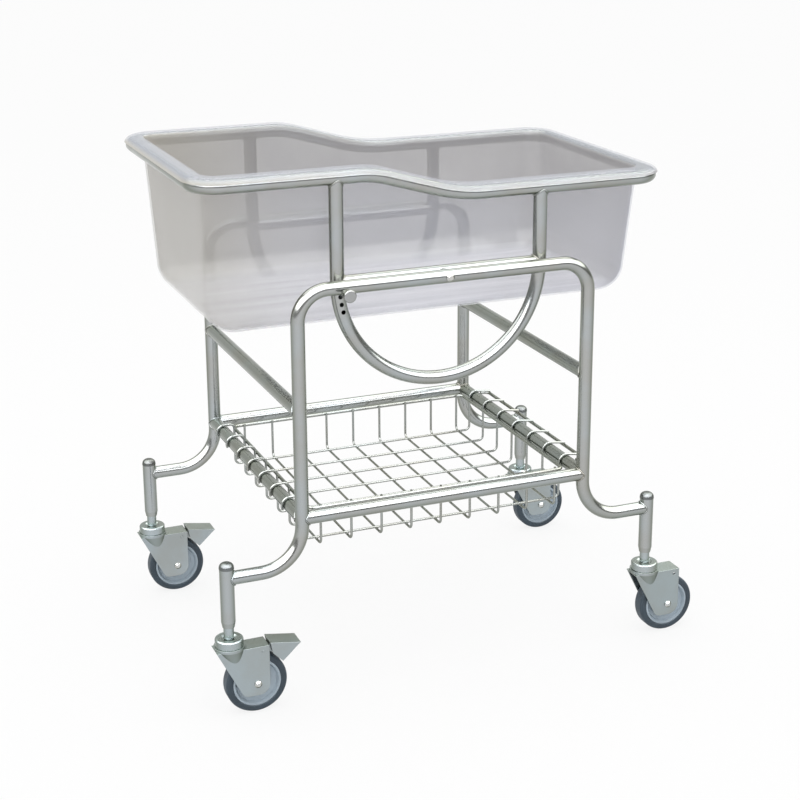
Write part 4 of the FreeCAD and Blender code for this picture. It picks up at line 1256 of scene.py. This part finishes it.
class BASSINET_OT_tub(bpy.types.Operator):
    """Clear, slightly milky tub folded out over the rim"""

    bl_idname = "bassinet.tub"
    bl_label = "Mould the tub"

    def execute(self, context):
        finishes = context.scene.bassinet_finishes
        mesh = tub_mesh(context.scene.bassinet_tub)
        colour = tuple(finishes.tub)
        finish = clear_finish("Clear tub plastic", colour, finishes.tub_body, finishes.tub_skin)
        mesh.materials.append(finish)
        tub = bpy.data.objects.new("tub_sheet", mesh)
        context.scene.collection.objects.link(tub)
        put_on(tub, "tub")
        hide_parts("tub")
        return {"FINISHED"}


class BASSINET_OT_casters(bpy.types.Operator):
    """Zinc plate on the casters, moulded cores and rubber treads on the wheels"""

    bl_idname = "bassinet.casters"
    bl_label = "Finish the casters"

    def execute(self, context):
        finishes = context.scene.bassinet_finishes
        plate = metal_finish(
            "Zinc plate",
            tuple(finishes.zinc),
            roughness=(0.3, 0.44),
            grain=500.0,
            depth=0.18,
            drift=0.07,
            edge=1.1 * MM,
        )
        dress(FORK_NODES + PEDAL_NODES, plate)
        turned = metal_finish(
            "Turned zinc",
            scaled(finishes.zinc, 1.1),
            roughness=(0.2, 0.3),
            grain=700.0,
            depth=0.1,
            drift=0.06,
            edge=0.8 * MM,
        )
        dress(CUP_NODES + STEM_NODES, turned)
        core = moulded_finish(
            "Wheel core",
            tuple(finishes.hub),
            roughness=(0.38, 0.55),
            grain=900.0,
            depth=0.25,
            drift=0.05,
        )
        dress(HUB_NODES, core)
        rubber = moulded_finish(
            "Tread rubber",
            tuple(finishes.tread),
            roughness=(0.42, 0.62),
            grain=700.0,
            depth=0.4,
            drift=0.15,
        )
        dress(TREAD_NODES, rubber)
        return {"FINISHED"}


class BASSINET_OT_hardware(bpy.types.Operator):
    """Bright bolts, pins and nuts, bushes, and the lock's knob"""

    bl_idname = "bassinet.hardware"
    bl_label = "Finish the hardware"

    def execute(self, context):
        bolt = metal_finish(
            "Bright bolt",
            BRIGHT_STEEL,
            roughness=(0.12, 0.2),
            grain=900.0,
            depth=0.05,
            drift=0.04,
            edge=0.6 * MM,
        )
        dress(BOLT_NODES, bolt)
        knob = metal_finish(
            "Turned knob",
            KNOB_STEEL,
            roughness=(0.18, 0.26),
            grain=1100.0,
            depth=0.08,
            drift=0.04,
            edge=1.6 * MM,
        )
        dress(("lock_knob",), knob)
        return {"FINISHED"}


CAMERA_PLACE = (-1.0437, -2.5429, 1.3330)
CAMERA_TURN = (22.12, -16.87, -0.30)  # yaw, pitch and roll in degrees
CAMERA_LENS = 76.0
CAMERA_SHIFT = -0.0754
FLOOR_GREY = (0.86, 0.86, 0.86, 1)
FLOOR_GLOW = 0.85
WALL_BEFORE = (0.3, 0.3, 0.29, 1)
WALL_BEHIND = (0.9, 0.9, 0.9, 1)


def aim_camera(scene):
    """Camera at a three-quarter view from the head end's lock side, a little above the rim."""
    yaw, pitch, roll = (math.radians(angle) for angle in CAMERA_TURN)
    forward = Vector(
        (math.sin(yaw) * math.cos(pitch), math.cos(yaw) * math.cos(pitch), math.sin(pitch))
    )
    flat_right = Vector((math.cos(yaw), -math.sin(yaw), 0))
    flat_up = flat_right.cross(forward)
    right = flat_right * math.cos(roll) + flat_up * math.sin(roll)
    up = flat_up * math.cos(roll) - flat_right * math.sin(roll)
    data = bpy.data.cameras.new("Camera")
    data.lens = CAMERA_LENS
    data.shift_y = CAMERA_SHIFT
    camera = bpy.data.objects.new("Camera", data)
    turn = Matrix((right, up, -forward)).transposed().to_4x4()
    camera.matrix_world = Matrix.Translation(CAMERA_PLACE) @ turn
    scene.collection.objects.link(camera)
    scene.camera = camera


def floor_finish():
    """Pale floor that looks white to the eye and keeps a soft shadow."""
    finish, wiring, shader, output = new_finish("Floor")
    shader.inputs["Base Color"].default_value = FLOOR_GREY
    shader.inputs["Roughness"].default_value = 0.9
    shader.inputs["Specular IOR Level"].default_value = 0.1
    light = wiring.add("ShaderNodeLightPath").outputs
    seen = wiring.maths("MAXIMUM", light["Is Camera Ray"], light["Is Transmission Ray"])
    seen = wiring.maths("MAXIMUM", seen, light["Is Glossy Ray"])
    share = wiring.maths("MULTIPLY", seen, FLOOR_GLOW)
    white = wiring.add("ShaderNodeEmission", {"Color": (1, 1, 1, 1), "Strength": 1.0})
    surfaces = {0: share, 1: shader.outputs[0], 2: white.outputs[0]}
    mixed = wiring.add("ShaderNodeMixShader", surfaces)
    wiring.feed(mixed.outputs[0], output.inputs["Surface"])
    return finish


def studio_world(scene, strength):
    """Bright ceiling, a pale wall behind the bassinet and a dim one before it."""
    world = bpy.data.worlds.new("Studio")
    scene.world = world
    world.use_nodes = True
    world.node_tree.nodes.clear()
    wiring = Wiring(world.node_tree)
    way = wiring.add("ShaderNodeTexCoord").outputs["Generated"]
    axes = wiring.add("ShaderNodeSeparateXYZ", {"Vector": way}).outputs
    wall = wiring.blend(wiring.remap(axes["Y"], -0.2, 0.6), WALL_BEFORE, WALL_BEHIND)
    sky = wiring.blend(wiring.remap(axes["Z"], 0.3, 0.45), wall, (1, 1, 1, 1))
    room = wiring.add("ShaderNodeBackground", {"Color": sky, "Strength": strength})
    wiring.add("ShaderNodeOutputWorld", {"Surface": room.outputs[0]})


def soft_lamp(name, place, target, size, power):
    """Large soft lamp turned towards a point."""
    data = bpy.data.lights.new(name, "AREA")
    data.shape = "RECTANGLE"
    data.size, data.size_y = size
    data.energy = power
    lamp = bpy.data.objects.new(name, data)
    lamp.location = place
    lamp.rotation_euler = (Vector(target) - Vector(place)).to_track_quat("-Z", "Y").to_euler()
    bpy.context.scene.collection.objects.link(lamp)
    return lamp


class BASSINET_OT_stage(bpy.types.Operator):
    """Pale floor, soft studio light and the camera"""

    bl_idname = "bassinet.stage"
    bl_label = "Set the stage"

    def execute(self, context):
        scene = context.scene
        settings = scene.bassinet_stage
        half = settings.floor
        corners = [(-half, -half, 0), (half, -half, 0), (half, half, 0), (-half, half, 0)]
        mesh = bpy.data.meshes.new("floor")
        mesh.from_pydata(corners, [], [(0, 1, 2, 3)])
        mesh.materials.append(floor_finish())
        floor = bpy.data.objects.new("floor", mesh)
        scene.collection.objects.link(floor)
        studio_world(scene, settings.ambient)
        soft_lamp("overhead", (-0.3, -0.5, 3.0), (0, 0, 0.4), (2.8, 2.2), settings.overhead)
        softbox = soft_lamp("softbox", (0, -2.3, 3.6), (0, -2.3, 0), (20, 11.8), settings.softbox)
        softbox.visible_diffuse = False
        softbox.visible_transmission = False
        aim_camera(scene)
        scene.view_settings.view_transform = "Standard"
        return {"FINISHED"}


class BASSINET_PT_panel(bpy.types.Panel):
    """Settings and steps of the bassinet"""

    bl_idname = "BASSINET_PT_panel"
    bl_label = "Hospital Bassinet"
    bl_space_type = "VIEW_3D"
    bl_region_type = "UI"
    bl_category = "Bassinet"

    def draw(self, context):
        scene = context.scene
        for group_name, group in GROUPS.items():
            box = self.layout.box()
            for name in group.__annotations__:
                box.prop(getattr(scene, group_name), name)
        for step in STEPS:
            self.layout.operator(step.bl_idname)


STEPS = (
    BASSINET_OT_stage,
    BASSINET_OT_tubes,
    BASSINET_OT_welds,
    BASSINET_OT_basket,
    BASSINET_OT_rim,
    BASSINET_OT_tub,
    BASSINET_OT_casters,
    BASSINET_OT_hardware,
)
GROUPS = {
    "bassinet_finishes": BassinetFinishes,
    "bassinet_basket": BassinetBasket,
    "bassinet_tub": BassinetTub,
    "bassinet_welds": BassinetWelds,
    "bassinet_stage": BassinetStage,
}
CLASSES = (*GROUPS.values(), *STEPS, BASSINET_PT_panel)


def register():
    for item in CLASSES:
        bpy.utils.register_class(item)
    for name, group in GROUPS.items():
        setattr(bpy.types.Scene, name, PointerProperty(type=group))


def unregister():
    for name in GROUPS:
        delattr(bpy.types.Scene, name)
    for item in reversed(CLASSES):
        bpy.utils.unregister_class(item)


def main():
    register()
    bpy.ops.bassinet.stage()
    bpy.ops.bassinet.tubes()
    bpy.ops.bassinet.welds()
    bpy.ops.bassinet.basket()
    bpy.ops.bassinet.rim()
    bpy.ops.bassinet.tub()
    bpy.ops.bassinet.casters()
    bpy.ops.bassinet.hardware()


if __name__ == "__main__":
    main()
